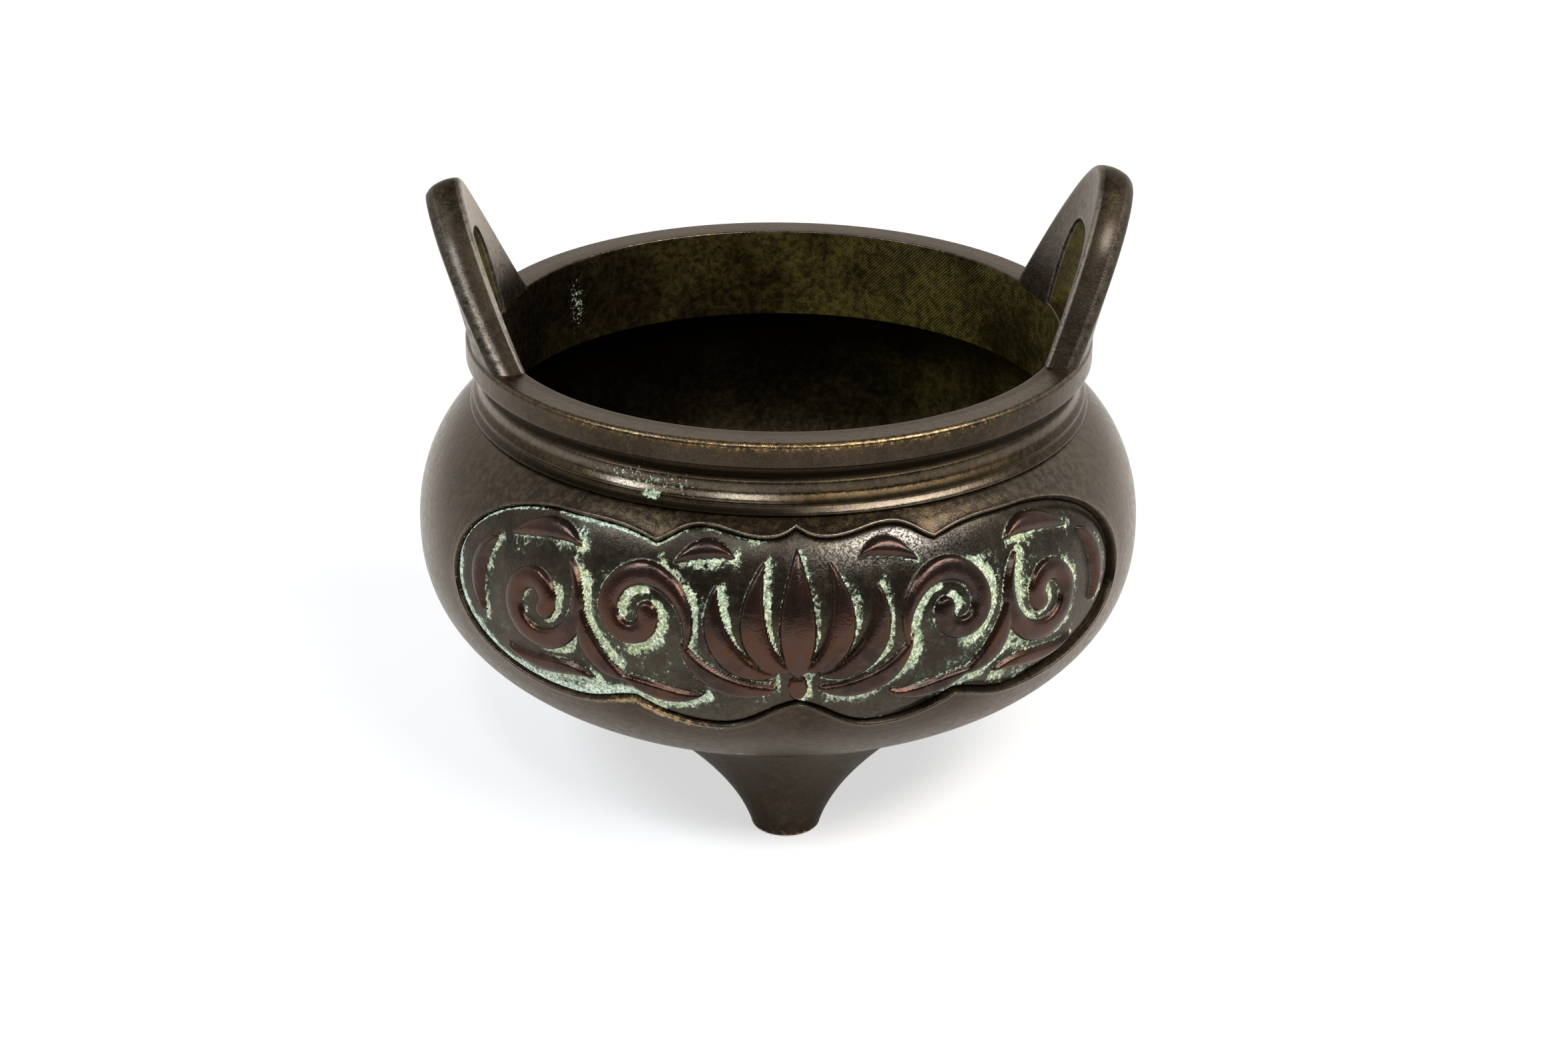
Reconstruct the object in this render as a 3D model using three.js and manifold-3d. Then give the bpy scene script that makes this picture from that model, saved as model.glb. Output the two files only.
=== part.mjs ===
// A small bronze incense burner: a round-bellied bowl on three feet, two loop ears standing on its rim,
// and two lobed relief panels let into the belly. Millimetres, +Z up, origin on the floor under the
// middle of the bowl, front foot and front panel at -Y, ears at +X and -X.
import * as THREE from "three";
import { mergeVertices } from "three/addons/utils/BufferGeometryUtils.js";
import Module from "manifold-3d";

const wasm = await Module();
wasm.setup();

const fitGap = 0.3; // between a piece and the seat, mortise or hole that takes it

// Collar: rim, groove, two ridges and a spigot, heights measured down from the rim's top
const mouthRadius = 53.7;
const rimThickness = 6.3;
const rimBand = 5.1; // plain upright band
const rimArris = 0.5; // worn corner of the band
const grooveDepth = 3; // in from the band's face
const grooveWidth = 2.3;
const grooveLean = 0.4; // drop of the groove's upper flank on its way in
const neckInset = 2.3; // the neck's face starts this far inside the band's
const neckFace = 3.4; // height of that face, which runs out to the upper ridge
const upperCordonInset = 1.4; // the upper ridge stops this far inside the band's face
const lowerCordonInset = 0.5;
const cordonPitch = 2.3; // from one ridge to the next
const cordonDip = 0.4; // the crease between them, in from the upper one
const neckDepth = 18; // the straight wall inside the mouth
const spigotWall = 2.8;

// Belly
const bellySwell = 9.7; // how far the belly stands out beyond the rim
const bellyDrop = 37.8; // rim's top to the widest level
const bellyDepth = 38.2; // widest level to the underside
const bellyFullness = 2.35; // 2 is an ellipse, more is squarer
const shoulderOverrun = 3.6; // how far above the bowl's edge the shoulder curve would turn level
const edgeInset = 1.3; // the bowl's edge lies this far inside the rim band's face
const wall = 5.5;

// Feet
const footCount = 3;
const footHeight = 14; // floor to the belly's underside
const footSpread = 0.55; // radius of the circle that the feet stand on, as a share of the rim's
const soleRadius = 5.3;
const soleRound = 1.2; // height of the rounding at the sole
const footWaist = 6.6; // radius just above the rounding
const footFlare = 13.6; // how much wider the foot gets on its way up to the belly
const footStraightness = 0.43; // 1 is a plain cone, 0 a deep hollow curve

// Foot rivets
const rivetRadius = 2.6;
const rivetHeadRadius = 4.8;
const rivetHeadEdge = 0.55; // upright edge under the head's dome
const rivetHeadRise = 2.2; // the dome
const rivetDepth = 8; // into the foot
const spotDepth = 1.5; // flat for the head, cut into the bowl's inside

// Ears
const earHeight = 30.2; // above the rim at the inner face's peak
const earHalfSpan = 26; // degrees round the rim from the ear's middle to its outer edge
const earCrown = 1.65; // 1 is a sharp peak, 2 a round one, more a flat one
const earSides = 1.2; // 0.5 makes the sides bow outwards, 1 and more makes them straight
const loopHeight = 19.1;
const loopHalfSpan = 11; // degrees
const loopCrown = 3.5;
const loopSides = 0.56;
const earFootThickness = 6;
const earTopThickness = 7.2;
const earFlare = 12.2; // degrees out from upright
const earRounding = 2.1; // of the band's outer edge, on the outer face
const loopRounding = 1.4; // of the loop's edge, on the outer face
const earArris = 0.6; // corner of both edges, on the inner face

// Ear tenons and pins
const tenonWidth = 8;
const tenonThickness = 2.8;
const tenonDepth = 4.1;
const pinRadius = 0.9;
const pinEndWall = 1.1; // metal left outside the pin's blind end

// Relief panels, measured on the developed belly
const panelDrop = 33; // rim's top to the panel's level
const panelSink = 1.1; // the panel's ground below the belly's skin
const panelThickness = 1.4;
const panelReach = 76.8; // half the panel's length round the belly
const panelRise = 17.1; // level to the top of the small lobes
const panelFall = 20.3; // level to the bottom of the small lobes
const reliefRise = 1.15; // the relief above the ground
const reliefRoot = 0.5; // how deep the relief is bedded in the plate
const reliefTopShare = 0.7; // width of a stroke's flat top over the width of its foot
const fullRiseHalf = 0.9; // strokes with a smaller half width stand lower in proportion
const leafFullness = 0.8; // 1 narrows a leaf like a sine, less keeps it broad for longer

// How finely round surfaces are divided
const bowlSegments = 64;
const outsideSteps = 6;
const insideSteps = 3;
const footSegments = 22;
const stemSteps = 6;
const crownSteps = 4;
const pinSegments = 14;
const rivetSegments = 20;
const domeSteps = 4;
const earSteps = 22;
const leafSteps = 4;
const scrollSteps = 12;
const panelRows = 7;

const degree = Math.PI / 180;
const rimRadius = mouthRadius + rimThickness;
const bellyRadius = rimRadius + bellySwell;
const bellyLevel = footHeight + bellyDepth;
const rimHeight = bellyLevel + bellyDrop;
const panelLevel = rimHeight - panelDrop;
const footCircle = footSpread * rimRadius;

// The collar's heights from the groove down to the bowl's edge, where it sits
const grooveEnd = rimHeight - rimBand - grooveWidth;
const faceTop = grooveEnd - (grooveDepth - neckInset);
const upperRidge = faceTop - neckFace;
const lowerRidge = upperRidge - cordonPitch;
const bowlEdge = lowerRidge - cordonPitch / 4;

// The shoulder is a quarter of an ellipse that passes through the bowl's edge
const edgeRadius = rimRadius - edgeInset;
const shoulderRise = bowlEdge + shoulderOverrun - bellyLevel;
const edgeShare = (bowlEdge - bellyLevel) / shoulderRise;
const shoulderReach = (bellyRadius - edgeRadius) / (1 - Math.sqrt(1 - edgeShare ** 2));

function bronze(color, roughness) {
  return new THREE.MeshStandardMaterial({ color, roughness, metalness: 0.85 });
}
const bowlBronze = bronze(0x3a2f27, 0.38);
const earBronze = bronze(0x352b25, 0.42);
const footBronze = bronze(0x382c26, 0.45);
const reliefBronze = bronze(0x4a2a22, 0.4);
const fixingBronze = bronze(0x4f4030, 0.5);

const evenly = (from, to, steps) =>
  Array.from({ length: steps + 1 }, (_, i) => from + ((to - from) * i) / steps);
const flat = ([x, y]) => new THREE.Vector2(x, y);
const polar = (radius, angle, height) =>
  new THREE.Vector3(radius * Math.cos(angle), radius * Math.sin(angle), height);

// A solid from a three.js geometry: shared corners merged, collapsed triangles dropped, faces out.
function solidOf(geometry) {
  const bare = geometry.clone();
  bare.deleteAttribute("normal");
  bare.deleteAttribute("uv");
  const merged = mergeVertices(bare, 1e-4);
  const vertProperties = new Float32Array(merged.attributes.position.array);
  const kept = [];
  for (let i = 0; i < merged.index.count; i += 3) {
    const [a, b, c] = merged.index.array.slice(i, i + 3);
    if (a !== b && b !== c && c !== a) kept.push(a, b, c);
  }
  const build = (corners) =>
    new wasm.Manifold(new wasm.Mesh({ numProp: 3, vertProperties, triVerts: new Uint32Array(corners) }));
  const made = build(kept);
  return made.volume() > 0 ? made : build(kept.reverse());
}

// A named mesh from a solid.
function meshOf(name, solid, material) {
  const { numProp, vertProperties, triVerts } = solid.getMesh();
  const positions = [];
  for (let i = 0; i < vertProperties.length; i += numProp) {
    positions.push(...vertProperties.slice(i, i + 3));
  }
  const geometry = new THREE.BufferGeometry();
  geometry.setAttribute("position", new THREE.Float32BufferAttribute(positions, 3));
  geometry.setIndex([...triVerts]);
  geometry.computeVertexNormals();
  const mesh = new THREE.Mesh(geometry, material.clone());
  mesh.name = name;
  return mesh;
}

// A closed solid through a row of rings with equal counts of points, capped at both ends.
function loft(rings) {
  const count = rings[0].length;
  const positions = rings.flat().flatMap((p) => p.toArray());
  const triangles = [];
  for (let i = 0; i + 1 < rings.length; i++) {
    for (let j = 0; j < count; j++) {
      const a = i * count + j;
      const b = i * count + ((j + 1) % count);
      triangles.push(a, b, b + count, a, b + count, a + count);
    }
  }
  for (const [ring, first] of [[rings[0], 0], [rings.at(-1), (rings.length - 1) * count]]) {
    const middle = ring.reduce((sum, p) => sum.add(p), new THREE.Vector3()).divideScalar(count);
    const centre = positions.length / 3;
    positions.push(...middle.toArray());
    for (let j = 0; j < count; j++) {
      const a = first + j;
      const b = first + ((j + 1) % count);
      triangles.push(...(first ? [a, b, centre] : [b, a, centre]));
    }
  }
  const skin = new THREE.BufferGeometry();
  skin.setAttribute("position", new THREE.Float32BufferAttribute(positions, 3));
  skin.setIndex(triangles);
  return solidOf(skin);
}

// A solid of revolution about Z from [radius, height] pairs that start and end on the axis.
function revolved(profile, segments) {
  return solidOf(new THREE.LatheGeometry(profile.map(flat), segments).rotateX(90 * degree));
}

// A round bar from one point to another.
function bar(from, to, radius, segments) {
  const along = to.clone().sub(from);
  const middle = from.clone().add(to).divideScalar(2);
  const upright = new THREE.Vector3(0, 1, 0);
  const turn = new THREE.Quaternion().setFromUnitVectors(upright, along.clone().normalize());
  const shape = new THREE.CylinderGeometry(radius, radius, along.length(), segments);
  return solidOf(shape.applyQuaternion(turn).translate(middle.x, middle.y, middle.z));
}

// Height of the belly's underside at a distance from the axis, or of the surface that far inside it.
function undersideAt(distance, inset = 0) {
  const share = Math.min(distance / (bellyRadius - inset), 1);
  return bellyLevel - (bellyDepth - inset) * (1 - share ** bellyFullness) ** (1 / bellyFullness);
}

// Radius of the belly at a height, or of the surface that far inside it.
function bellyAt(height, inset = 0) {
  const rise = height - bellyLevel;
  if (rise < 0) {
    const share = Math.min(-rise / (bellyDepth - inset), 1);
    return (bellyRadius - inset) * (1 - share ** bellyFullness) ** (1 / bellyFullness);
  }
  const share = Math.min(rise / (shoulderRise - inset), 1);
  return bellyRadius - shoulderReach + (shoulderReach - inset) * Math.sqrt(1 - share * share);
}

// Height at which the shoulder has a radius, or the surface that far inside it.
function shoulderAt(radius, inset = 0) {
  const share = (radius - bellyRadius + shoulderReach) / (shoulderReach - inset);
  return bellyLevel + (shoulderRise - inset) * Math.sqrt(1 - share * share);
}

// Points down the belly from a height to the axis, closer together where it turns under.
function bellyProfile(start, inset, steps) {
  const upper = evenly(start, bellyLevel, steps).map((z) => [bellyAt(z, inset), z]);
  const lower = evenly(0, 90, 2 * steps).slice(1, -1).map((angle) => {
    const drop = (bellyDepth - inset) * Math.sin(angle * degree) ** (2 / bellyFullness);
    return [bellyAt(bellyLevel - drop, inset), bellyLevel - drop];
  });
  return [...upper, ...lower, [0, bellyLevel - bellyDepth + inset]];
}

// The collar before anything is cut into it. It sits on the bowl's edge, and its spigot hangs in the bore.
const spigotRadius = mouthRadius + spigotWall;
function collarBlank() {
  const neckEnd = rimHeight - neckDepth;
  const grooveRadius = rimRadius - grooveDepth;
  const upperRidgeRadius = rimRadius - upperCordonInset;
  const profile = [
    [mouthRadius, neckEnd],
    [mouthRadius, rimHeight],
    [rimRadius - rimArris, rimHeight],
    [rimRadius, rimHeight - rimArris],
    [rimRadius, rimHeight - rimBand + rimArris],
    [rimRadius - rimArris, rimHeight - rimBand],
    [grooveRadius, rimHeight - rimBand - grooveLean],
    [grooveRadius, grooveEnd],
    [rimRadius - neckInset, faceTop],
    [upperRidgeRadius, upperRidge],
    [upperRidgeRadius - cordonDip, upperRidge - cordonPitch / 2],
    [rimRadius - lowerCordonInset, lowerRidge],
    [edgeRadius, bowlEdge + fitGap],
    [spigotRadius, bowlEdge + fitGap],
    [spigotRadius, neckEnd],
    [mouthRadius, neckEnd],
  ];
  return revolved(profile, bowlSegments);
}

// The bowl before anything is cut into it. Its bore runs down to where the hollow is as wide.
function bowlBlank() {
  const bore = spigotRadius + fitGap;
  const outside = bellyProfile(bowlEdge, 0, outsideSteps);
  const inside = bellyProfile(shoulderAt(bore, wall), wall, insideSteps);
  return revolved([...outside.reverse(), [bore, bowlEdge], ...inside], bowlSegments);
}

// A point on the front of the belly: round it by an arc length, up from the panel's level, and lifted
// off the skin.
function onBelly(across, rise, lift) {
  const height = panelLevel + rise;
  return polar(bellyAt(height) + lift, across / bellyRadius - 90 * degree, height);
}

// The right half of a panel's upper and lower edge, from the middle to the end, as cubic curves in
// shares of the panel's reach and height, each with its count of steps.
const upperEdge = [
  { steps: 2, points: [[0, 1.01], [0.03, 0.94], [0.05, 0.92], [0.088, 0.92]] },
  { steps: 4, points: [[0.088, 0.92], [0.16, 0.93], [0.19, 1], [0.25, 1]] },
  { steps: 3, points: [[0.25, 1], [0.31, 1], [0.33, 0.88], [0.37, 0.82]] },
  { steps: 5, points: [[0.37, 0.82], [0.48, 0.95], [0.55, 0.905], [0.66, 0.905]] },
  { steps: 8, points: [[0.66, 0.905], [0.88, 0.87], [1, 0.45], [1, -0.11]] },
];
const lowerEdge = [
  { steps: 5, points: [[0, -0.7], [0.075, -0.76], [0.11, -1], [0.2, -1]] },
  { steps: 5, points: [[0.2, -1], [0.28, -1], [0.34, -0.91], [0.4, -0.78]] },
  { steps: 4, points: [[0.4, -0.78], [0.47, -0.81], [0.5, -0.935], [0.6, -0.935]] },
  { steps: 8, points: [[0.6, -0.935], [0.8, -0.935], [1, -0.6], [1, -0.1]] },
];

// Points along one edge from end to end, with the panel drawn in by a margin.
function edgePoints(edge, height, margin) {
  const half = edge.flatMap(({ steps, points }) => {
    const curve = new THREE.CubicBezierCurve(...points.map(flat));
    return evenly(0, 1, steps).slice(1).map((u) => curve.getPoint(u));
  });
  const middle = flat(edge[0].points[0]);
  const right = [middle, ...half].map((p) => flat([p.x * (panelReach - margin), p.y * (height - margin)]));
  const left = right.slice(1).reverse().map((p) => flat([-p.x, p.y]));
  return [...left, ...right];
}

// A plate that follows the belly inside the panel's outline, between two lifts off the skin.
function bellyPlate(margin, lowLift, highLift) {
  const top = edgePoints(upperEdge, panelRise, margin);
  const bottom = edgePoints(lowerEdge, panelFall, margin);
  const rings = top.map((high, i) => {
    const column = evenly(0, 1, panelRows).map((u) => bottom[i].clone().lerp(high, u));
    const outer = column.map((p) => onBelly(p.x, p.y, highLift));
    const inner = column.map((p) => onBelly(p.x, p.y, lowLift));
    return [...outer, ...inner.reverse()];
  });
  return loft(rings);
}

// A stroke of the relief: points on the panel, each with its half width. It is widest at the peak and
// narrows to shares of that at its start and end.
function stroke(path, width, peak, start, end) {
  return path.map((point, i) => {
    const u = i / (path.length - 1);
    const climb = u < peak ? u / peak : (1 - u) / (1 - peak);
    const least = u < peak ? start : end;
    const swell = Math.sin((climb * Math.PI) / 2) ** leafFullness;
    return { point, half: (width / 2) * (least + (1 - least) * swell) };
  });
}

function leaf(points, width, peak = 0.5, start = 0.1, end = 0.06) {
  const curve = new THREE.CubicBezierCurve(...points.map(flat));
  return stroke(evenly(0, 1, leafSteps).map((u) => curve.getPoint(u)), width, peak, start, end);
}

// A scroll winds in from an outer to an inner radius between two angles in degrees.
function scroll(middle, outer, inner, from, to, width) {
  const path = evenly(0, 1, scrollSteps).map((u) => {
    const radius = outer * (inner / outer) ** u;
    const angle = (from + (to - from) * u) * degree;
    return flat([middle[0] + radius * Math.cos(angle), middle[1] + radius * Math.sin(angle)]);
  });
  return stroke(path, width, 0.3, 0.2, 0.95);
}

// The relief: a lotus flower in the middle and leaf scrolls on both sides, drawn on a grid that is 80
// squares from the middle to the end and 20 squares from the level to the lower edge.
function reliefStrokes() {
  const middle = [
    leaf([[0, -8], [0, -3], [0, 4], [0, 14.6]], 7, 0.45, 0.35),
    leaf([[0, -10.2], [0, -10.9], [0, -11.9], [0, -12.4]], 3.6, 0.5, 0.8, 0.8),
  ];
  const side = [
    leaf([[1.8, -7.5], [9, -6], [10.5, 3], [6.8, 12.5]], 5.2, 0.45, 0.3),
    leaf([[4.8, -8.6], [13, -9], [18, -1], [16.2, 8.2]], 5, 0.45, 0.3),
    leaf([[4.6, -11.6], [11, -13.6], [19.5, -11], [22.5, -2.6]], 4.2, 0.5, 0.3),
    scroll([32.2, 1.4], 11.8, 2.7, 206, -196, 4.3),
    scroll([55, -1], 12.2, 2.8, 128, 566, 4.4),
    leaf([[18, -13.8], [24, -16.6], [30, -13.2], [35.5, -11.8]], 3.2),
    leaf([[33.5, -12.6], [40, -11.2], [43.5, -6], [43.6, 0.5]], 4.4),
    leaf([[41, -14.2], [47, -12], [55, -16.6], [63, -13]], 3.3),
    leaf([[46, 11.6], [51, 14.2], [58, 13.2], [64, 9.6]], 3.4),
    leaf([[68, 7.6], [72.6, 4.5], [73.6, -3], [69.5, -8]], 4.2),
    leaf([[13, 13.4], [17, 15.4], [21, 14.8], [25, 11.8]], 2.9),
  ];
  const mirror = ({ point, half }) => ({ point: flat([-point.x, point.y]), half });
  return [...middle, ...side, ...side.map((points) => points.map(mirror))];
}

// One stroke as a flat-topped bar bedded in the panel's plate.
function reliefBar(points) {
  const square = panelReach / 80;
  const row = Math.min(panelRise / 18, panelFall / 20);
  const foot = -panelSink - reliefRoot;
  const rings = points.map(({ point, half }, i) => {
    const before = points[Math.max(i - 1, 0)].point;
    const after = points[Math.min(i + 1, points.length - 1)].point;
    const along = after.clone().sub(before).normalize();
    const top = reliefRise * Math.min(1, half / fullRiseHalf) - panelSink;
    const section = [[-1, foot], [-reliefTopShare, top], [reliefTopShare, top], [1, foot]];
    return section.map(([side, lift]) => {
      const x = (point.x - along.y * half * side) * square;
      const y = (point.y + along.x * half * side) * row;
      return onBelly(x, y, lift);
    });
  });
  return loft(rings);
}

function panelSolid() {
  const plate = bellyPlate(fitGap, -panelSink - panelThickness, -panelSink);
  return reliefStrokes().reduce((made, points) => made.add(reliefBar(points)), plate);
}

// The recess that takes a panel, cut from above the skin.
function panelRecess() {
  return bellyPlate(0, -panelSink - panelThickness - fitGap, panelSink);
}

// A point of an arch, as shares of its half span and height, at a turn from 0 to 180 degrees.
function archPoint(turn, crown, sides) {
  const across = Math.cos(turn);
  return [across, Math.max(1 - Math.abs(across) ** crown, 0) ** sides];
}

// A point of an ear at +X: round the rim in degrees, up along its flaring inner face, and out from that.
function onEar(span, rise, out) {
  const flare = earFlare * degree;
  const radius = mouthRadius + rise * Math.tan(flare) + out * Math.cos(flare);
  return polar(radius, span * degree, rimHeight + fitGap + rise - out * Math.sin(flare));
}

// The arch of an ear at +X, a rounded band between the loop's outline and the ear's own. Its legs run
// on downwards and are cut off level above the rim.
function earArch() {
  const arcPerDegree = (mouthRadius + earFootThickness / 2) * degree;
  const overrun = earFootThickness;
  const ringAt = (turn, sink) => {
    const [loopAcross, loopUp] = archPoint(turn * degree, loopCrown, loopSides);
    const [edgeAcross, edgeUp] = archPoint(turn * degree, earCrown, earSides);
    const low = flat([loopAcross * loopHalfSpan, loopUp * loopHeight - sink]);
    const high = flat([edgeAcross * earHalfSpan, edgeUp * earHeight - sink]);
    const width = Math.hypot((high.x - low.x) * arcPerDegree, high.y - low.y);
    const thickness = earFootThickness + (earTopThickness - earFootThickness) * edgeUp;
    const [outer, inner, arris] = [earRounding, loopRounding, earArris].map((size) =>
      Math.min(size, width / 3, thickness / 3),
    );
    const section = [
      [0, arris],
      [arris, 0],
      [width - arris, 0],
      [width, arris],
      [width, thickness - outer],
      [width - outer / 3, thickness - outer / 3],
      [width - outer, thickness],
      [inner, thickness],
      [0, thickness - inner],
    ];
    return section.map(([along, out]) => {
      const p = low.clone().lerp(high, along / width);
      return onEar(p.x, p.y, out);
    });
  };
  const arch = evenly(0, 180, earSteps).map((turn) => ringAt(turn, 0));
  const whole = loft([ringAt(0, overrun), ...arch, ringAt(180, overrun)]);
  const below = new THREE.BoxGeometry(4 * rimRadius, 4 * rimRadius, 4 * overrun);
  return whole.subtract(solidOf(below.translate(0, 0, rimHeight + fitGap - 2 * overrun)));
}

// Where an ear's two tenons stand, in degrees from the ear's middle.
const tenonAngle = (earHalfSpan + loopHalfSpan) / 2;
const tenonAngles = [-tenonAngle, tenonAngle];
const tenonMiddle = mouthRadius + Math.min(rimThickness, earFootThickness) / 2;
const pinDrop = (tenonDepth + fitGap) / 2;

// A tenon under an ear at +X, or with a margin the mortise that takes it.
function tenon(angle, margin) {
  const foot = rimHeight - tenonDepth - margin;
  const head = rimHeight + fitGap + earFootThickness / 4;
  const shape = new THREE.BoxGeometry(tenonThickness + 2 * margin, tenonWidth + 2 * margin, head - foot);
  return solidOf(shape.translate(tenonMiddle, 0, (head + foot) / 2).rotateZ(angle * degree));
}

// A pin from the mouth's wall through a tenon, or with a margin its hole, which opens into the mouth.
function earPin(angle, margin) {
  const height = rimHeight - pinDrop;
  const start = margin ? mouthRadius - fitGap : mouthRadius + fitGap;
  const from = polar(start, angle * degree, height);
  const to = polar(rimRadius - pinEndWall + margin, angle * degree, height);
  return bar(from, to, pinRadius + margin, pinSegments);
}

function earSolid() {
  const withTenons = tenonAngles.reduce((made, angle) => made.add(tenon(angle, 0)), earArch());
  return tenonAngles.reduce((made, angle) => made.subtract(earPin(angle, fitGap)), withTenons);
}

// A foot at the front: a flaring stem whose top follows the belly.
function footStem() {
  const turns = evenly(0, 360, footSegments).slice(0, -1).map((turn) => turn * degree);
  const top = footWaist + footFlare;
  const place = new THREE.Vector3(0, -footCircle, 0);
  const seat = (radius, turn) => {
    const p = polar(radius, turn, 0).add(place);
    return undersideAt(Math.hypot(p.x, p.y)) - fitGap;
  };
  const ring = (radius, heightAt) => turns.map((turn) => polar(radius, turn, heightAt(turn)).add(place));
  const sole = [
    ring(soleRadius, () => 0),
    ring((soleRadius + 2 * footWaist) / 3, () => soleRound / 3),
    ring(footWaist, () => soleRound),
  ];
  const stem = evenly(0, 1, stemSteps).slice(1).map((u) => {
    const radius = footWaist + footFlare * (footStraightness * u + (1 - footStraightness) * u * u);
    return ring(radius, (turn) => soleRound + (seat(top, turn) - soleRound) * u);
  });
  const inwards = evenly(top, 0, crownSteps).slice(1, -1);
  const crown = inwards.map((radius) => ring(radius, (turn) => seat(radius, turn)));
  return loft([...sole, ...stem, ...crown]);
}

const spotHeight = undersideAt(footCircle, wall) - spotDepth;

// A rivet at the front foot, head inside the bowl, or with a margin its hole through wall and foot.
function footRivet(margin) {
  const shank = rivetRadius + margin;
  const end = undersideAt(footCircle) - rivetDepth - margin;
  const headFoot = spotHeight + fitGap;
  const dome = evenly(0, 90, domeSteps).map((angle) => {
    const rise = rivetHeadRise * Math.sin(angle * degree);
    return [rivetHeadRadius * Math.cos(angle * degree), headFoot + rivetHeadEdge + rise];
  });
  const head = [[rivetHeadRadius, headFoot], ...dome];
  const opening = [[shank, spotHeight + wall], [0, spotHeight + wall]];
  const profile = [[0, end], [shank, end], [shank, headFoot], ...(margin ? opening : head)];
  return revolved(profile, rivetSegments).translate([0, -footCircle, 0]);
}

// The flat inside the bowl that a rivet's head sits on.
function rivetSpot() {
  const from = new THREE.Vector3(0, -footCircle, spotHeight);
  const to = from.clone().setZ(spotHeight + wall + rivetHeadRise);
  return bar(from, to, rivetHeadRadius + fitGap, rivetSegments);
}

const footAngles = evenly(0, 360, footCount).slice(0, -1);
const turned = (solid, angle) => solid.rotate([0, 0, angle]);

const without = (blank, cuts) => cuts.reduce((made, cut) => made.subtract(cut), blank);

function collarSolid() {
  const cuts = tenonAngles.flatMap((angle) => [tenon(angle, fitGap), earPin(angle, fitGap)]);
  return without(collarBlank(), [...cuts, ...cuts.map((cut) => turned(cut, 180))]);
}

function bowlSolid() {
  return without(bowlBlank(), [
    panelRecess(),
    turned(panelRecess(), 180),
    ...footAngles.flatMap((angle) => [turned(footRivet(fitGap), angle), turned(rivetSpot(), angle)]),
  ]);
}

const burner = new THREE.Group();
burner.name = "incense_burner";
burner.add(meshOf("bowl", bowlSolid(), bowlBronze));
burner.add(meshOf("collar", collarSolid(), bowlBronze));

function addTurned(name, solid, material, angle) {
  const mesh = meshOf(name, solid, material);
  mesh.rotation.z = angle * degree;
  burner.add(mesh);
}

addTurned("front_panel", panelSolid(), reliefBronze, 0);
addTurned("rear_panel", panelSolid(), reliefBronze, 180);

const sides = [["right", 0], ["left", 180]];
for (const [side, angle] of sides) {
  addTurned("ear_" + side, earSolid(), earBronze, angle);
  addTurned("ear_pin_" + side + "_a", earPin(tenonAngles[0], 0), fixingBronze, angle);
  addTurned("ear_pin_" + side + "_b", earPin(tenonAngles[1], 0), fixingBronze, angle);
}

const footNames = ["front", "rear_right", "rear_left"];
footAngles.forEach((angle, i) => {
  const place = footNames[i] ?? "extra_" + i;
  addTurned("foot_" + place, footStem().subtract(footRivet(fitGap)), footBronze, angle);
  addTurned("foot_rivet_" + place, footRivet(0), fixingBronze, angle);
});

export default burner;
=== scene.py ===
import math
import bmesh
import bpy
import numpy as np
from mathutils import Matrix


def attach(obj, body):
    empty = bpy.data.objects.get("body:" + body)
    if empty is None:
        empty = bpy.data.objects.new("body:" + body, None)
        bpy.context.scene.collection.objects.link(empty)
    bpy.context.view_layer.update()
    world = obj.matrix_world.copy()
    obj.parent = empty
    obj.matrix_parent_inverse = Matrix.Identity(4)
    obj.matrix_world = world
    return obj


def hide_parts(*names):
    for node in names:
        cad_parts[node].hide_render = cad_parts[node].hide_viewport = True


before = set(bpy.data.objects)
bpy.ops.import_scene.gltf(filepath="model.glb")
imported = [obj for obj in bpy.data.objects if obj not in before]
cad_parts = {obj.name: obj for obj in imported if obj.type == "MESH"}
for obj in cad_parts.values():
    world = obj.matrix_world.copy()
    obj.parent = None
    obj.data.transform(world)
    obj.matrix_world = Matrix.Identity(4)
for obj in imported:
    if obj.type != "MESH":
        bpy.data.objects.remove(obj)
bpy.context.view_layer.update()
print("packed burner loaded")

# Sizes are millimetres until a mesh is made. +Z is up, -Y is the front, the ears stand at +X and -X.
# A side is in degrees round the axis, 0 at the front and 90 at the right.
vessel = {
    "rimHeight": 90.0,
    "mouthRadius": 53.7,
    "bellyRadius": 69.7,
    "bellyLevel": 52.2,  # height of the widest circle
    "bellyDepth": 38.2,  # from there to the underside
    "bellyFullness": 2.35,  # 2 is an ellipse, more is squarer
    "edgeRadius": 58.7,  # where the collar sits on the bowl
    "edgeHeight": 75.625,
    "shoulderOverrun": 3.6,  # how far above that the shoulder curve would turn level
    "wall": 5.5,
    "boreRadius": 56.8,
    "columns": 480,
}
shoulderRise = vessel["edgeHeight"] + vessel["shoulderOverrun"] - vessel["bellyLevel"]
edgeShare = 1 - vessel["shoulderOverrun"] / shoulderRise
shoulderReach = (vessel["bellyRadius"] - vessel["edgeRadius"]) / (1 - math.sqrt(1 - edgeShare**2))
metre = 0.001


# Radius of the belly at a height: a quarter of a superellipse below the widest circle, a quarter of an
# ellipse above it. An inset gives the surface that far inside.
def bellyAt(height, inset=0.0):
    rise = np.asarray(height, float) - vessel["bellyLevel"]
    down = np.clip(-rise / (vessel["bellyDepth"] - inset), 0, 1)
    up = np.clip(rise / (shoulderRise - inset), 0, 1)
    power = vessel["bellyFullness"]
    lower = (vessel["bellyRadius"] - inset) * (1 - down**power) ** (1 / power)
    upper = vessel["bellyRadius"] - shoulderReach + (shoulderReach - inset) * np.sqrt(1 - up * up)
    return np.where(rise < 0, lower, upper)


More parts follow.
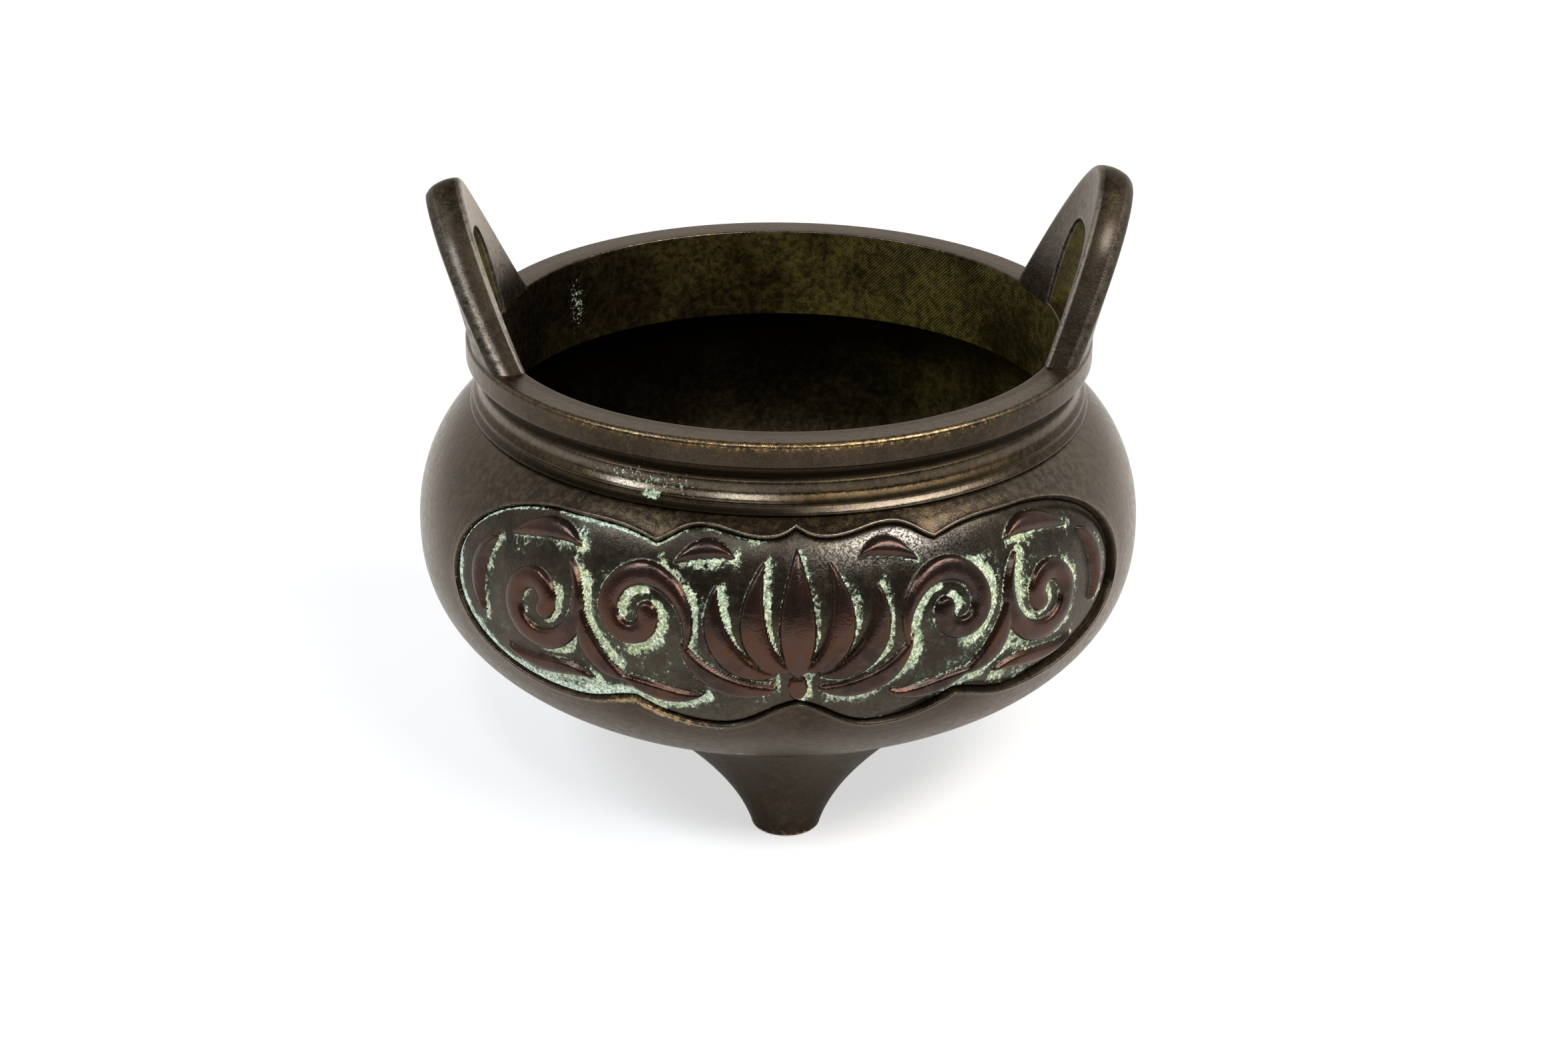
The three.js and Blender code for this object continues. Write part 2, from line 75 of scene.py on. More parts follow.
# Height of the underside at a distance from the axis: the same superellipse, solved for the height.
def undersideAt(distance, inset=0.0):
    power = vessel["bellyFullness"]
    share = np.clip(np.asarray(distance, float) / (vessel["bellyRadius"] - inset), 0, 1)
    return vessel["bellyLevel"] - (vessel["bellyDepth"] - inset) * (1 - share**power) ** (1 / power)


# Points at even steps of a cubic curve's parameter.
def cubic(points, steps):
    t = np.linspace(0, 1, steps + 1)[:, None]
    a, b, c, d = np.array(points, float)
    return (1 - t) ** 3 * a + 3 * (1 - t) ** 2 * t * b + 3 * (1 - t) * t * t * c + t**3 * d


# Length along a path at each of its points, from 0 at the first.
def lengthAlong(path):
    return np.concatenate([[0], np.cumsum(np.hypot(*np.diff(path, axis=0).T))])


# A path read at given lengths along it.
def readPath(at, run, path):
    return np.stack([np.interp(at, run, path[:, k]) for k in (0, 1)], -1)


# A bell that is 1 at a centre and fades over a width.
def bell(value, centre, width):
    return np.exp(-(((value - centre) / width) ** 2))


# 0 below one limit, 1 above the other, and an S between them; the limits may come in either order.
def easeBetween(value, low, high):
    t = np.clip((value - low) / (high - low), 0, 1)
    return t * t * (3 - 2 * t)


# A bell in degrees round the axis.
def bellRound(side, centre, width):
    return bell((side - centre + 180) % 360 - 180, 0, width)


# The sum of bells along a line, each row a centre, a width and a strength.
def patchesAlong(value, rows):
    return sum(strength * bell(value, centre, width) for centre, width, strength in rows)


# The sum of patches on a turned surface, each row a side, its width, a height, its spread and a strength.
def patchesRound(side, height, rows):
    patches = [
        strength * bellRound(side, centre, width) * bell(height, level, spread)
        for centre, width, level, spread, strength in rows
    ]
    return sum(patches)


# A profile of radii and heights turned round the axis: a grid of points and the side of each column.
def turnedProfile(profile):
    angle = np.linspace(-math.pi, math.pi, vessel["columns"], endpoint=False)
    r, z = profile[:, 0, None], profile[:, 1, None]
    points = np.stack([r * np.cos(angle), r * np.sin(angle), z + 0 * angle], -1)
    return points, np.degrees(angle) + 90


# The same points turned round Z by an angle in degrees.
def turned(points, angle):
    c, s = math.cos(math.radians(angle)), math.sin(math.radians(angle))
    x, y, z = np.moveaxis(points, -1, 0)
    return np.stack([x * c - y * s, x * s + y * c, z], -1)


# Faces of a grid of points, four neighbours each, joined round the columns or the rows where asked.
def gridFaces(rows, columns, joinRows=False, joinColumns=True):
    i, j = np.meshgrid(
        np.arange(rows if joinRows else rows - 1),
        np.arange(columns if joinColumns else columns - 1),
        indexing="ij",
    )
    here, above = i * columns, (i + 1) % rows * columns
    nextColumn = (j + 1) % columns
    return np.stack([here + j, above + j, above + nextColumn, here + nextColumn], -1).reshape(-1, 4)


# Points of a mesh that share a place become one, which closes its poles and seams.
def weldDoubles(mesh):
    work = bmesh.new()
    work.from_mesh(mesh)
    bmesh.ops.remove_doubles(work, verts=work.verts, dist=0.0002 * metre)
    work.to_mesh(mesh)
    work.free()


# A new object that holds some data, put into the scene.
def placed(name, data):
    item = bpy.data.objects.new(name, data)
    bpy.context.scene.collection.objects.link(item)
    return item


# Puts grids of points into one mesh piece, with a value per point for each named attribute, gives it its
# body and its material, and hides the CAD node that it stands in for.
def makePiece(name, grids, node, material):
    points, faces, values, offset = [], [], {}, 0
    for grid in grids:
        rows, columns = grid["points"].shape[:2]
        points.append(grid["points"].reshape(-1, 3) * metre)
        corners = gridFaces(rows, columns, grid.get("joinRows", False), grid.get("joinColumns", True))
        faces.append((corners[:, ::-1] if grid.get("flip") else corners) + offset)
        for key, field in grid["values"].items():
            spread = np.broadcast_to(field, (rows, columns)).ravel()
            values.setdefault(key, []).append((offset, spread))
        offset += rows * columns
    mesh = bpy.data.meshes.new(name)
    mesh.from_pydata(np.vstack(points).tolist(), [], np.vstack(faces).tolist())
    for key, fields in values.items():
        whole = np.zeros(offset, np.float32)
        for start, field in fields:
            whole[start : start + field.size] = field
        mesh.attributes.new(key, "FLOAT", "POINT").data.foreach_set("value", whole)
    weldDoubles(mesh)
    mesh.shade_smooth()
    mesh.materials.append(material)
    piece = placed(name, mesh)
    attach(piece, "root")
    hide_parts(node)
    print(name, len(mesh.polygons), "faces")


# A shader node of a kind, with its settings.
def newNode(tree, kind, **settings):
    node = tree.nodes.new(kind)
    for key, value in settings.items():
        setattr(node, key, value)
    return node


# Links a socket to another one, or gives it a number or a colour.
def feed(tree, socket, value):
    if isinstance(value, bpy.types.NodeSocket):
        tree.links.new(value, socket)
    elif hasattr(value, "__len__") and len(value) == 3 and socket.type == "RGBA":
        socket.default_value = (*value, 1.0)
    else:
        socket.default_value = value


# Constant values on a node's own sockets.
def setSockets(node, values):
    for key, value in values.items():
        node.inputs[key].default_value = value


# One step of arithmetic.
def calc(tree, operation, first, second=0.0):
    node = newNode(tree, "ShaderNodeMath", operation=operation)
    feed(tree, node.inputs[0], first)
    feed(tree, node.inputs[1], second)
    return node.outputs[0]


# The product of two values.
def times(tree, first, second):
    return calc(tree, "MULTIPLY", first, second)


# The sum of two values.
def plus(tree, first, second):
    return calc(tree, "ADD", first, second)


# Fractal noise about 0.5, at a scale per metre.
def noise(tree, place, scale, detail=4.0, roughness=0.55, distortion=0.0):
    node = newNode(tree, "ShaderNodeTexNoise")
    feed(tree, node.inputs["Vector"], place)
    setSockets(node, {"Scale": scale, "Detail": detail, "Roughness": roughness, "Distortion": distortion})
    return node.outputs["Fac"]


# An S from one result to another as a value runs from low to high.
def remap(tree, value, low, high, outLow=0.0, outHigh=1.0):
    node = newNode(tree, "ShaderNodeMapRange", interpolation_type="SMOOTHSTEP")
    for index, item in enumerate((value, low, high, outLow, outHigh)):
        feed(tree, node.inputs[index], item)
    return node.outputs[0]


# The first colour, going over to the second as the share grows.
def blend(tree, share, first, second):
    node = newNode(tree, "ShaderNodeMix", data_type="RGBA")
    feed(tree, node.inputs[0], share)
    feed(tree, node.inputs[6], first)
    feed(tree, node.inputs[7], second)
    return node.outputs[2]


# Layers of paint over a colour, each a share and a paint, the last on top.
def painted(tree, colour, layers):
    for share, paint in layers:
        colour = blend(tree, share, colour, paint)
    return colour


# A value that a mesh carries at its points.
def attribute(tree, name):
    return newNode(tree, "ShaderNodeAttribute", attribute_name=name).outputs["Fac"]


# Bumps laid over one another, each a pattern, its height in metres and its strength.
def bumped(tree, bumps):
    normal = None
    for height, distance, strength in bumps:
        node = newNode(tree, "ShaderNodeBump")
        feed(tree, node.inputs["Strength"], strength)
        feed(tree, node.inputs["Distance"], distance)
        feed(tree, node.inputs["Height"], height)
        if normal is not None:
            feed(tree, node.inputs["Normal"], normal)
        normal = node.outputs["Normal"]
    return normal


# A new material with constant values: the material, its tree and its shader.
def newMaterial(name, values):
    material = bpy.data.materials.new(name)
    material.use_nodes = True
    shader = material.node_tree.nodes["Principled BSDF"]
    setSockets(shader, values)
    return material, material.node_tree, shader


# A new metal with its gloss and the tint of its edges, and the place of each point on the piece.
def newMetal(name, look):
    values = {"Specular IOR Level": look["gloss"], "Specular Tint": (*look["edgeTint"], 1)}
    made = newMaterial(name, values)
    return *made, newNode(made[1], "ShaderNodeTexCoord").outputs["Object"]


# A patinated bronze. Its colour wanders between two browns and is flecked and pitted. It turns golden
# where "golden" is high and mossy where "moss" is, takes a near-black painted shade where its shade
# mask is and a pale colour for polishing and for painted highlights and sheen where its polishing
# mask is, shows bare metal where "worn" is and is overgrown by a pale green crust where "crust" is.
# Each of these is broken up by noise, and moss and crust are no longer metal.
def patinatedBronze(name, look):
    material, tree, shader, place = newMetal(name, look)
    clouds = noise(tree, place, look["cloudScale"], 5, 0.6)
    mottle = noise(tree, place, look["mottleScale"], 6, 0.65)
    grain = noise(tree, place, look["grainScale"], 3, 0.65)
    scuffs = noise(tree, place, look["scuffScale"], 4, 0.7)
    crustNoise = noise(tree, place, look["crustScale"], 6, 0.75)
    # Painted shade: a near-black colour that also makes the surface more metal and rougher.
    paintedShade = attribute(tree, "paintedShade")
    golden = times(tree, attribute(tree, "golden"), remap(tree, mottle, 0.4, 0.62, 0.15, 1.0))
    moss = times(tree, attribute(tree, "moss"), remap(tree, mottle, 0.35, 0.6, 0.45, 1.0))
    moss = times(tree, moss, remap(tree, clouds, 0.36, 0.62, 0.35, 1.0))
    # Polishing on worn edges, and painted highlights and sheen: a pale colour that makes it more metal.
    polishAndPaintedSheen = times(tree, attribute(tree, "polishAndPaintedSheen"), remap(tree, mottle, 0.3, 0.6, 0.5, 1.0))
    worn = plus(tree, attribute(tree, "worn"), times(tree, scuffs, 1.3))
    worn = remap(tree, plus(tree, worn, times(tree, grain, 0.4)), 1.08, 1.38)
    crust = plus(tree, attribute(tree, "crust"), times(tree, crustNoise, 2.0))
    crust = remap(tree, crust, 1.5, 1.6)
    browns = blend(tree, remap(tree, clouds, 0.38, 0.62), look["dark"], look["light"])
    crustPaint = blend(tree, remap(tree, grain, 0.42, 0.6), look["crustDeep"], look["crustPale"])
    layers = (
        (remap(tree, mottle, 0.5, 0.66, 0.0, 0.5), look["fleck"]),
        (golden, look["golden"]),
        (moss, look["moss"]),
        (paintedShade, look["paintedShade"]),
        (remap(tree, grain, 0.5, 0.3, 0.0, 0.7), look["pit"]),
        (polishAndPaintedSheen, look["polishSheenColour"]),
        (worn, look["bare"]),
        (crust, crustPaint),
    )
    feed(tree, shader.inputs["Base Color"], painted(tree, browns, layers))
    metallicShare = calc(tree, "MAXIMUM", paintedShade, calc(tree, "MAXIMUM", polishAndPaintedSheen, worn))
    metallic = remap(tree, metallicShare, 0.0, 1.0, look["metallic"], 1.0)
    oxide = calc(tree, "MAXIMUM", crust, times(tree, moss, 0.5))
    feed(tree, shader.inputs["Metallic"], calc(tree, "SUBTRACT", metallic, oxide))
    rough = remap(tree, mottle, 0.3, 0.7, *look["roughness"])
    for share, extra in ((crust, 0.45), (paintedShade, 0.3), (moss, 0.25), (worn, -0.05)):
        rough = plus(tree, rough, times(tree, share, extra))
    feed(tree, shader.inputs["Roughness"], rough)
    bumps = [
        (grain, look["grainRise"], 1.0),
        (mottle, look["mottleRise"], 1.0),
        (crust, look["crustRise"], 0.5),
    ]
    if "hatchPitch" in look:
        hatch = hatchMarks(tree, place, look["hatchPitch"])
        bumps.append((hatch, look["hatchRise"], attribute(tree, "hatch")))
    feed(tree, shader.inputs["Normal"], bumped(tree, bumps))
    return material


# Slanted tool marks on the upright wall inside the mouth: a sine of the arc length round plus the height,
# made a little wavy by noise.
def hatchMarks(tree, place, pitch):
    parts = newNode(tree, "ShaderNodeSeparateXYZ")
    feed(tree, parts.inputs[0], place)
    angle = calc(tree, "ARCTAN2", parts.outputs["Y"], parts.outputs["X"])
    around = times(tree, angle, vessel["mouthRadius"] * metre)
    waviness = times(tree, noise(tree, place, 120.0, 2), metre)
    slant = plus(tree, plus(tree, around, parts.outputs["Z"]), waviness)
    return calc(tree, "SINE", times(tree, slant, 2 * math.pi / pitch))


bronzeLook = {
    "dark": (0.022, 0.0155, 0.010),
    "light": (0.042, 0.030, 0.019),
    "fleck": (0.070, 0.048, 0.027),
    "pit": (0.008, 0.0055, 0.003),
    "golden": (0.095, 0.057, 0.019),
    "moss": (0.140, 0.112, 0.018),
    "bare": (0.32, 0.215, 0.105),
    # pale colour of polishing and of painted highlights and sheen
    "polishSheenColour": (0.34, 0.29, 0.23),
    # near-black colour of the painted shade
    "paintedShade": (0.006, 0.0045, 0.0025),
    "crustDeep": (0.25, 0.36, 0.22),
    "crustPale": (0.56, 0.68, 0.50),
    "edgeTint": (1.0, 0.93, 0.86),
    "cloudScale": 60.0,
    "mottleScale": 700.0,
    "grainScale": 2600.0,
    "scuffScale": 1100.0,
    "crustScale": 1300.0,
    "metallic": 0.85,
    "gloss": 0.45,
    "roughness": (0.20, 0.32),
    "grainRise": 0.00004,  # in metres, as the other rises and the pitch
    "mottleRise": 0.00006,
    "crustRise": 0.0002,
}
bowlLook = dict(bronzeLook, hatchPitch=0.00072, hatchRise=0.0001)
earLook = dict(
    bronzeLook,
    dark=(0.014, 0.0105, 0.0075),
    light=(0.036, 0.028, 0.020),
    # the ears' polishing and painted highlights are paler
    polishSheenColour=(0.44, 0.39, 0.33),
    mottleScale=620.0,
    grainRise=0.00009,
    mottleRise=0.00013,
    roughness=(0.20, 0.44),
)
footLook = dict(
    bronzeLook,
    dark=(0.020, 0.0145, 0.0105),
    light=(0.036, 0.0265, 0.020),
    fleck=(0.060, 0.038, 0.027),
    mottleScale=520.0,
    edgeTint=(0.62, 0.60, 0.57),
)
fixingLook = dict(bronzeLook, dark=(0.026, 0.020, 0.011), light=(0.050, 0.040, 0.020))
bowlBronze = patinatedBronze("bowlBronze", bowlLook)
earBronze = patinatedBronze("earBronze", earLook)
footBronze = patinatedBronze("footBronze", footLook)
fixingBronze = patinatedBronze("fixingBronze", fixingLook)


# The panels' bronze: red-brown strokes on a darker ground, told apart by "strokeGap", the distance to the
# nearest stroke's edge. A green film spreads round the crust, which is thin and dull at its borders, pale
# and speckled where it is thick, and bluer where "blue" is. The ground takes a pale painted highlight
# in one place; the strokes take a painted bluish sheen on their upper parts and turn bare with "worn".
def reliefFinish(name, look):
    material, tree, shader, place = newMetal(name, look)
    clouds = noise(tree, place, look["cloudScale"], 4, 0.6)
    patches = noise(tree, place, look["patchScale"], 3, 0.6)
    mottle = noise(tree, place, look["mottleScale"], 6, 0.66)
    grain = noise(tree, place, look["grainScale"], 3, 0.6)
    ragged = noise(tree, place, look["crustScale"], 8, 0.82, 0.2)
    speckle = noise(tree, place, look["speckleScale"], 3, 0.75)
    onStroke = remap(tree, attribute(tree, "strokeGap"), 0.12, -0.12)
    crusted = plus(tree, times(tree, ragged, 3.2), times(tree, patches, 2.0))
    crusted = plus(tree, attribute(tree, "crust"), crusted)
    film = remap(tree, crusted, 2.6, 3.1, 0.0, 0.4)
    crust = remap(tree, crusted, 3.14, 3.24)
    thick = remap(tree, crusted, 3.16, 3.42)
    # A painted highlight on the ground, broken up by grain.
    sheen = times(tree, attribute(tree, "polishAndPaintedSheen"), remap(tree, grain, 0.42, 0.58))
    groundLayers = (
        (remap(tree, mottle, 0.52, 0.68, 0.0, 0.5), look["groundFleck"]),
        (remap(tree, grain, 0.5, 0.32, 0.0, 0.7), look["pit"]),
        (sheen, look["polishSheenColour"]),
    )
    ground = blend(tree, remap(tree, clouds, 0.4, 0.62), look["groundDark"], look["groundLight"])
    ground = painted(tree, ground, groundLayers)
    worn = remap(tree, plus(tree, attribute(tree, "worn"), times(tree, mottle, 0.8)), 0.85, 1.15)
    strokeLayers = (
        (remap(tree, mottle, 0.48, 0.64, 0.0, 0.75), look["strokeFleck"]),
        (attribute(tree, "paintedCoolSheen"), look["strokeSheenColour"]),
        (worn, look["bare"]),
    )
    stroke = blend(tree, remap(tree, clouds, 0.38, 0.6), look["strokeDark"], look["strokeRed"])
    stroke = painted(tree, stroke, strokeLayers)
    crustPaint = blend(tree, remap(tree, clouds, 0.4, 0.6), look["crustGreen"], look["crustYellow"])
    crustPaint = blend(tree, attribute(tree, "blue"), crustPaint, look["crustBlue"])
    crustPaint = blend(tree, thick, look["crustThin"], crustPaint)
    crustLayers = (
        (times(tree, thick, remap(tree, mottle, 0.48, 0.6)), look["crustPale"]),
        (remap(tree, grain, 0.55, 0.38, 0.0, 0.8), look["crustDeep"]),
        (remap(tree, speckle, 0.51, 0.42, 0.0, 0.85), look["crustDeep"]),
    )
    crustPaint = painted(tree, crustPaint, crustLayers)
    colour = painted(tree, ground, ((onStroke, stroke), (film, look["film"]), (crust, crustPaint)))
    feed(tree, shader.inputs["Base Color"], colour)
    feed(tree, shader.inputs["Metallic"], remap(tree, crust, 0.0, 1.0, look["metallic"], 0.0))
    rough = remap(tree, onStroke, 0.0, 1.0, look["groundRoughness"], look["strokeRoughness"])
    rough = plus(tree, rough, times(tree, calc(tree, "SUBTRACT", mottle, 0.5), 0.25))
    feed(tree, shader.inputs["Roughness"], plus(tree, rough, times(tree, crust, 0.4)))
    bumps = (
        (grain, look["grainRise"], 1.0),
        (mottle, look["mottleRise"], 1.0),
        (crust, look["crustRise"], 0.6),
    )
    feed(tree, shader.inputs["Normal"], bumped(tree, bumps))
    return material


reliefLook = {
    "groundDark": (0.025, 0.0185, 0.0125),
    "groundLight": (0.046, 0.035, 0.023),
    "groundFleck": (0.080, 0.066, 0.048),
    "pit": (0.010, 0.008, 0.006),
    # pale colour of the painted highlight on the ground
    "polishSheenColour": (0.25, 0.233, 0.212),
    "strokeDark": (0.026, 0.016, 0.012),
    "strokeRed": (0.064, 0.029, 0.017),
    "strokeFleck": (0.056, 0.036, 0.030),
    # colour of the painted bluish sheen on the strokes
    "strokeSheenColour": (0.070, 0.046, 0.042),
    "bare": (0.50, 0.30, 0.12),
    "film": (0.060, 0.068, 0.047),
    "crustThin": (0.24, 0.31, 0.21),
    "crustPale": (0.86, 0.91, 0.72),
    "crustGreen": (0.60, 0.71, 0.49),
    "crustYellow": (0.70, 0.74, 0.42),
    "crustBlue": (0.76, 0.89, 0.84),
    "crustDeep": (0.13, 0.19, 0.13),
    "edgeTint": (1.0, 0.95, 0.90),
    "cloudScale": 90.0,
    "patchScale": 150.0,
    "mottleScale": 480.0,
    "grainScale": 2600.0,
    "crustScale": 1100.0,
    "speckleScale": 1400.0,
    "metallic": 0.75,
    "gloss": 0.5,
    "groundRoughness": 0.28,
    "strokeRoughness": 0.15,
    "grainRise": 0.00004,
    "mottleRise": 0.00009,
    "crustRise": 0.00025,
}
reliefBronze = reliefFinish("reliefBronze", reliefLook)
print("bronze finishes ready")

# The panels' outline and relief

panel = {
    "level": 57.0,
    "reach": 76.8,  # half its length round the belly
    "rise": 17.1,
    "fall": 20.3,
    "tip": 0.11,  # how far its pointed ends lie below the level, in shares of the rise
    "sink": 1.1,  # ground below the skin
    "thickness": 1.35,  # of the plate under its ground
    "gap": 0.15,  # round the plate
    "board": {"reach": 80, "rise": 18, "fall": 20},  # of the board that the relief is drawn on
    "reliefRise": 1.25,
    "slimStroke": 1.4,  # strokes with less than this half width are lower
    "wall": (0.28, -0.3),  # where a stroke's wall starts and ends, from its edge
    "flatShare": 0.35,  # share of a stroke's height that isn't dome
    "swell": 0.55,  # how the ground rises towards the rim, and over which width
    "swellWidth": 5,
    "columns": 540,
    "endColumns": 26,
    "endShare": 0.95,
    "rows": 138,
    "backRows": 24,
    # rows of a place across the panel, a width and a strength
    "bareFlanks": [(-60, 9, 0.5), (63, 7, 0.3)],
    "bareUpperFlanks": [(7, 8, 0.5)],
    "overgrown": [(-36, 13, 0.4), (42, 16, 0.48), (-8, 8, 0.24)],
    "crustedRim": [(-16, 16, 0.6)],
    "wornStrokes": [(14, 7, 0.25), (-8, 3, 0.25)],
    "paintedSheenOnGround": [(19, 12, 1.0)],
}
# a start, then three points for each cubic piece of the right half
upperEdge = [
    [0, 1.01],
    [0.03, 0.94], [0.05, 0.92], [0.088, 0.92],
    [0.16, 0.93], [0.19, 1], [0.25, 1],
    [0.31, 1], [0.33, 0.88], [0.37, 0.82],
    [0.48, 0.95], [0.55, 0.905], [0.66, 0.905],
    [0.88, 0.87], [1, 0.45], [1, -panel["tip"]],
]
lowerEdge = [
    [0, -0.7],
    [0.075, -0.76], [0.11, -1], [0.2, -1],
    [0.28, -1], [0.34, -0.91], [0.4, -0.78],
    [0.47, -0.81], [0.5, -0.935], [0.6, -0.935],
    [0.8, -0.935], [1, -0.6], [1, -panel["tip"] * panel["rise"] / panel["fall"]],
]


# One edge of the panel from left to right, drawn in by a margin: the right half's cubic pieces in
# shares of the reach and the height, mirrored to the left.
def lobedEdge(points, height, margin):
    pieces = [cubic(points[k : k + 4], 40)[1:] for k in range(0, len(points) - 1, 3)]
    half = np.vstack([np.array(points[:1], float)] + pieces)
    half = half * (panel["reach"] - margin, height - margin)
    return np.vstack([half[:0:-1] * (-1, 1), half])


# The upper and the lower edge.
def bothEdges(margin):
    return lobedEdge(upperEdge, panel["rise"], margin), lobedEdge(lowerEdge, panel["fall"], margin)


# The closed outline at an even spacing, with its outward directions averaged over their neighbours.
def outline(spacing):
    upper, lower = bothEdges(0)
    closed = np.vstack([upper, lower[-2:0:-1], upper[:1]])
    run = lengthAlong(closed)
    points = readPath(np.linspace(0, run[-1], int(run[-1] / spacing), endpoint=False), run, closed)
    along = np.roll(points, -1, 0) - np.roll(points, 1, 0)
    outward = np.stack([-along[:, 1], along[:, 0]], -1)
    outward = sum(np.roll(outward, k, 0) for k in range(-3, 4))
    return points, outward / np.hypot(*outward.T)[:, None]


# A point on the belly: its arc length from the front gives the angle, its rise over the panel's level
# gives the height, and it is lifted along the profile's normal.
def onBelly(across, rise, lift):
    height, step = panel["level"] + rise, 0.05
    slope = (bellyAt(height + step) - bellyAt(height - step)) / (2 * step)
    steep = np.sqrt(1 + slope * slope)
    radius = bellyAt(height) + lift / steep
    angle = across / vessel["bellyRadius"] - math.pi / 2
    return np.stack([radius * np.cos(angle), radius * np.sin(angle), height - lift * slope / steep], -1)


# Distance from every point to the nearest segment between neighbours of a path, less the half width
# that the path has there.
def gapToPath(x, y, path, half):
    gap = np.full(x.shape, 99.0)
    for (ax, ay), (bx, by), ha, hb in zip(path[:-1], path[1:], half[:-1], half[1:]):
        dx, dy = bx - ax, by - ay
        t = np.clip(((x - ax) * dx + (y - ay) * dy) / (dx * dx + dy * dy), 0, 1)
        gap = np.minimum(gap, np.hypot(x - ax - t * dx, y - ay - t * dy) - ha - t * (hb - ha))
    return gap


# Distance from every point to the closed outline.
def gapToOutline(x, y, spacing):
    loop, _ = outline(spacing)
    return gapToPath(x, y, np.vstack([loop, loop[:1]]), np.zeros(len(loop) + 1))


# Half widths along a stroke: widest at the peak, narrowing like a sine to shares of that at the ends.
def strokeHalf(count, width, peak, start, end):
    u = np.linspace(0, 1, count)
    climb = np.where(u < peak, u / peak, (1 - u) / (1 - peak))
    least = np.where(u < peak, start, end)
    return width / 2 * (least + (1 - least) * np.sin(climb * math.pi / 2) ** 0.8)


# A leaf or petal along a cubic curve.
def leaf(points, width, peak=0.5, start=0.1, end=0.06):
    path = cubic(points, 22)
    return path, strokeHalf(len(path), width, peak, start, end)


# A scroll: its radius shrinks by even shares as its angle turns.
def scroll(middle, outer, inner, fromAngle, toAngle, width):
    u = np.linspace(0, 1, 64)
    radius = outer * (inner / outer) ** u
    angle = np.radians(fromAngle + (toAngle - fromAngle) * u)
    path = np.stack([middle[0] + radius * np.cos(angle), middle[1] + radius * np.sin(angle)], -1)
    return path, strokeHalf(len(path), width, 0.3, 0.2, 0.95)


# A lotus flower in the middle and leaf scrolls on both sides, on the board's squares.
def reliefStrokes():
    middle = [
        leaf([[0, -8], [0, -3], [0, 4], [0, 14.6]], 7, 0.45, 0.35),
        leaf([[0, -10.2], [0, -10.9], [0, -11.9], [0, -12.4]], 3.6, 0.5, 0.8, 0.8),
    ]
    side = [
        leaf([[1.8, -7.5], [9, -6], [10.5, 3], [6.8, 12.5]], 5.2, 0.45, 0.3),
        leaf([[4.8, -8.6], [13, -9], [18, -1], [16.2, 8.2]], 5, 0.45, 0.3),
        leaf([[4.6, -11.6], [11, -13.6], [19.5, -11], [22.5, -2.6]], 4.2, 0.5, 0.3),
        scroll([32.2, 1.4], 11.8, 2.7, 206, -196, 4.3),
        scroll([55, -1], 12.2, 2.8, 128, 566, 4.4),
        leaf([[18, -13.8], [24, -16.6], [30, -13.2], [35.5, -11.8]], 3.2),
        leaf([[33.5, -12.6], [40, -11.2], [43.5, -6], [43.6, 0.5]], 4.4),
        leaf([[41, -14.2], [47, -12], [55, -16.6], [63, -13]], 3.3),
        leaf([[46, 11.6], [51, 14.2], [58, 13.2], [64, 9.6]], 3.4),
        leaf([[68, 7.6], [72.6, 4.5], [73.6, -3], [69.5, -8]], 4.2),
        leaf([[13, 13.4], [17, 15.4], [21, 14.8], [25, 11.8]], 2.9),
    ]
    mirrored = [(path * (-1, 1), half) for path, half in side]
    return middle + side + mirrored


# The relief's height over the ground and the gap to the nearest stroke. Each stroke has a steep wall,
# an S across its edge, and a domed top; the highest stroke counts where strokes meet.
def reliefField(x, y):
    across, up, down = [panel[key] / size for key, size in panel["board"].items()]
    square = np.array([across, min(up, down)])
    farthest = 6.5  # beyond this a stroke isn't felt
    height = np.zeros(x.shape)
    nearest = np.full(x.shape, 6.0)
    for path, half in reliefStrokes():
        points, half = path * square, half * square[0]
        low, high = points.min(0) - farthest, points.max(0) + farthest
        near = (x > low[0]) & (x < high[0]) & (y > low[1]) & (y < high[1])
        gap = gapToPath(x[near], y[near], points, half)
        dome = np.sqrt(1 - (1 - np.clip(-gap / half.max(), 0, 1)) ** 2)
        slim = min(1, half.max() / square[0] / panel["slimStroke"])
        top = panel["reliefRise"] * slim * (panel["flatShare"] + (1 - panel["flatShare"]) * dome)
        height[near] = np.maximum(height[near], top * easeBetween(gap, *panel["wall"]))
        nearest[near] = np.minimum(nearest[near], gap)
    return height, nearest


# The ground's lift from the skin: sunk, swelling towards the rim, and ending in a narrow groove, which
# widens to a channel at the right.
def groundLift(x, y, rimGap):
    channel = np.minimum(easeBetween(x, 44, 60) + easeBetween(x, 10, 30) * (y < 0) * 0.6, 1)
    swell = panel["swell"] * bell(rimGap, 0, panel["swellWidth"]) * (1 - 0.6 * channel)
    groove = np.where(y < 0, 0.75 * bell(rimGap, 0, 0.36), 0.4 * bell(rimGap, 0, 0.26))
    return -panel["sink"] + swell - groove - 0.7 * channel * bell(rimGap, 0.9, 1.1)
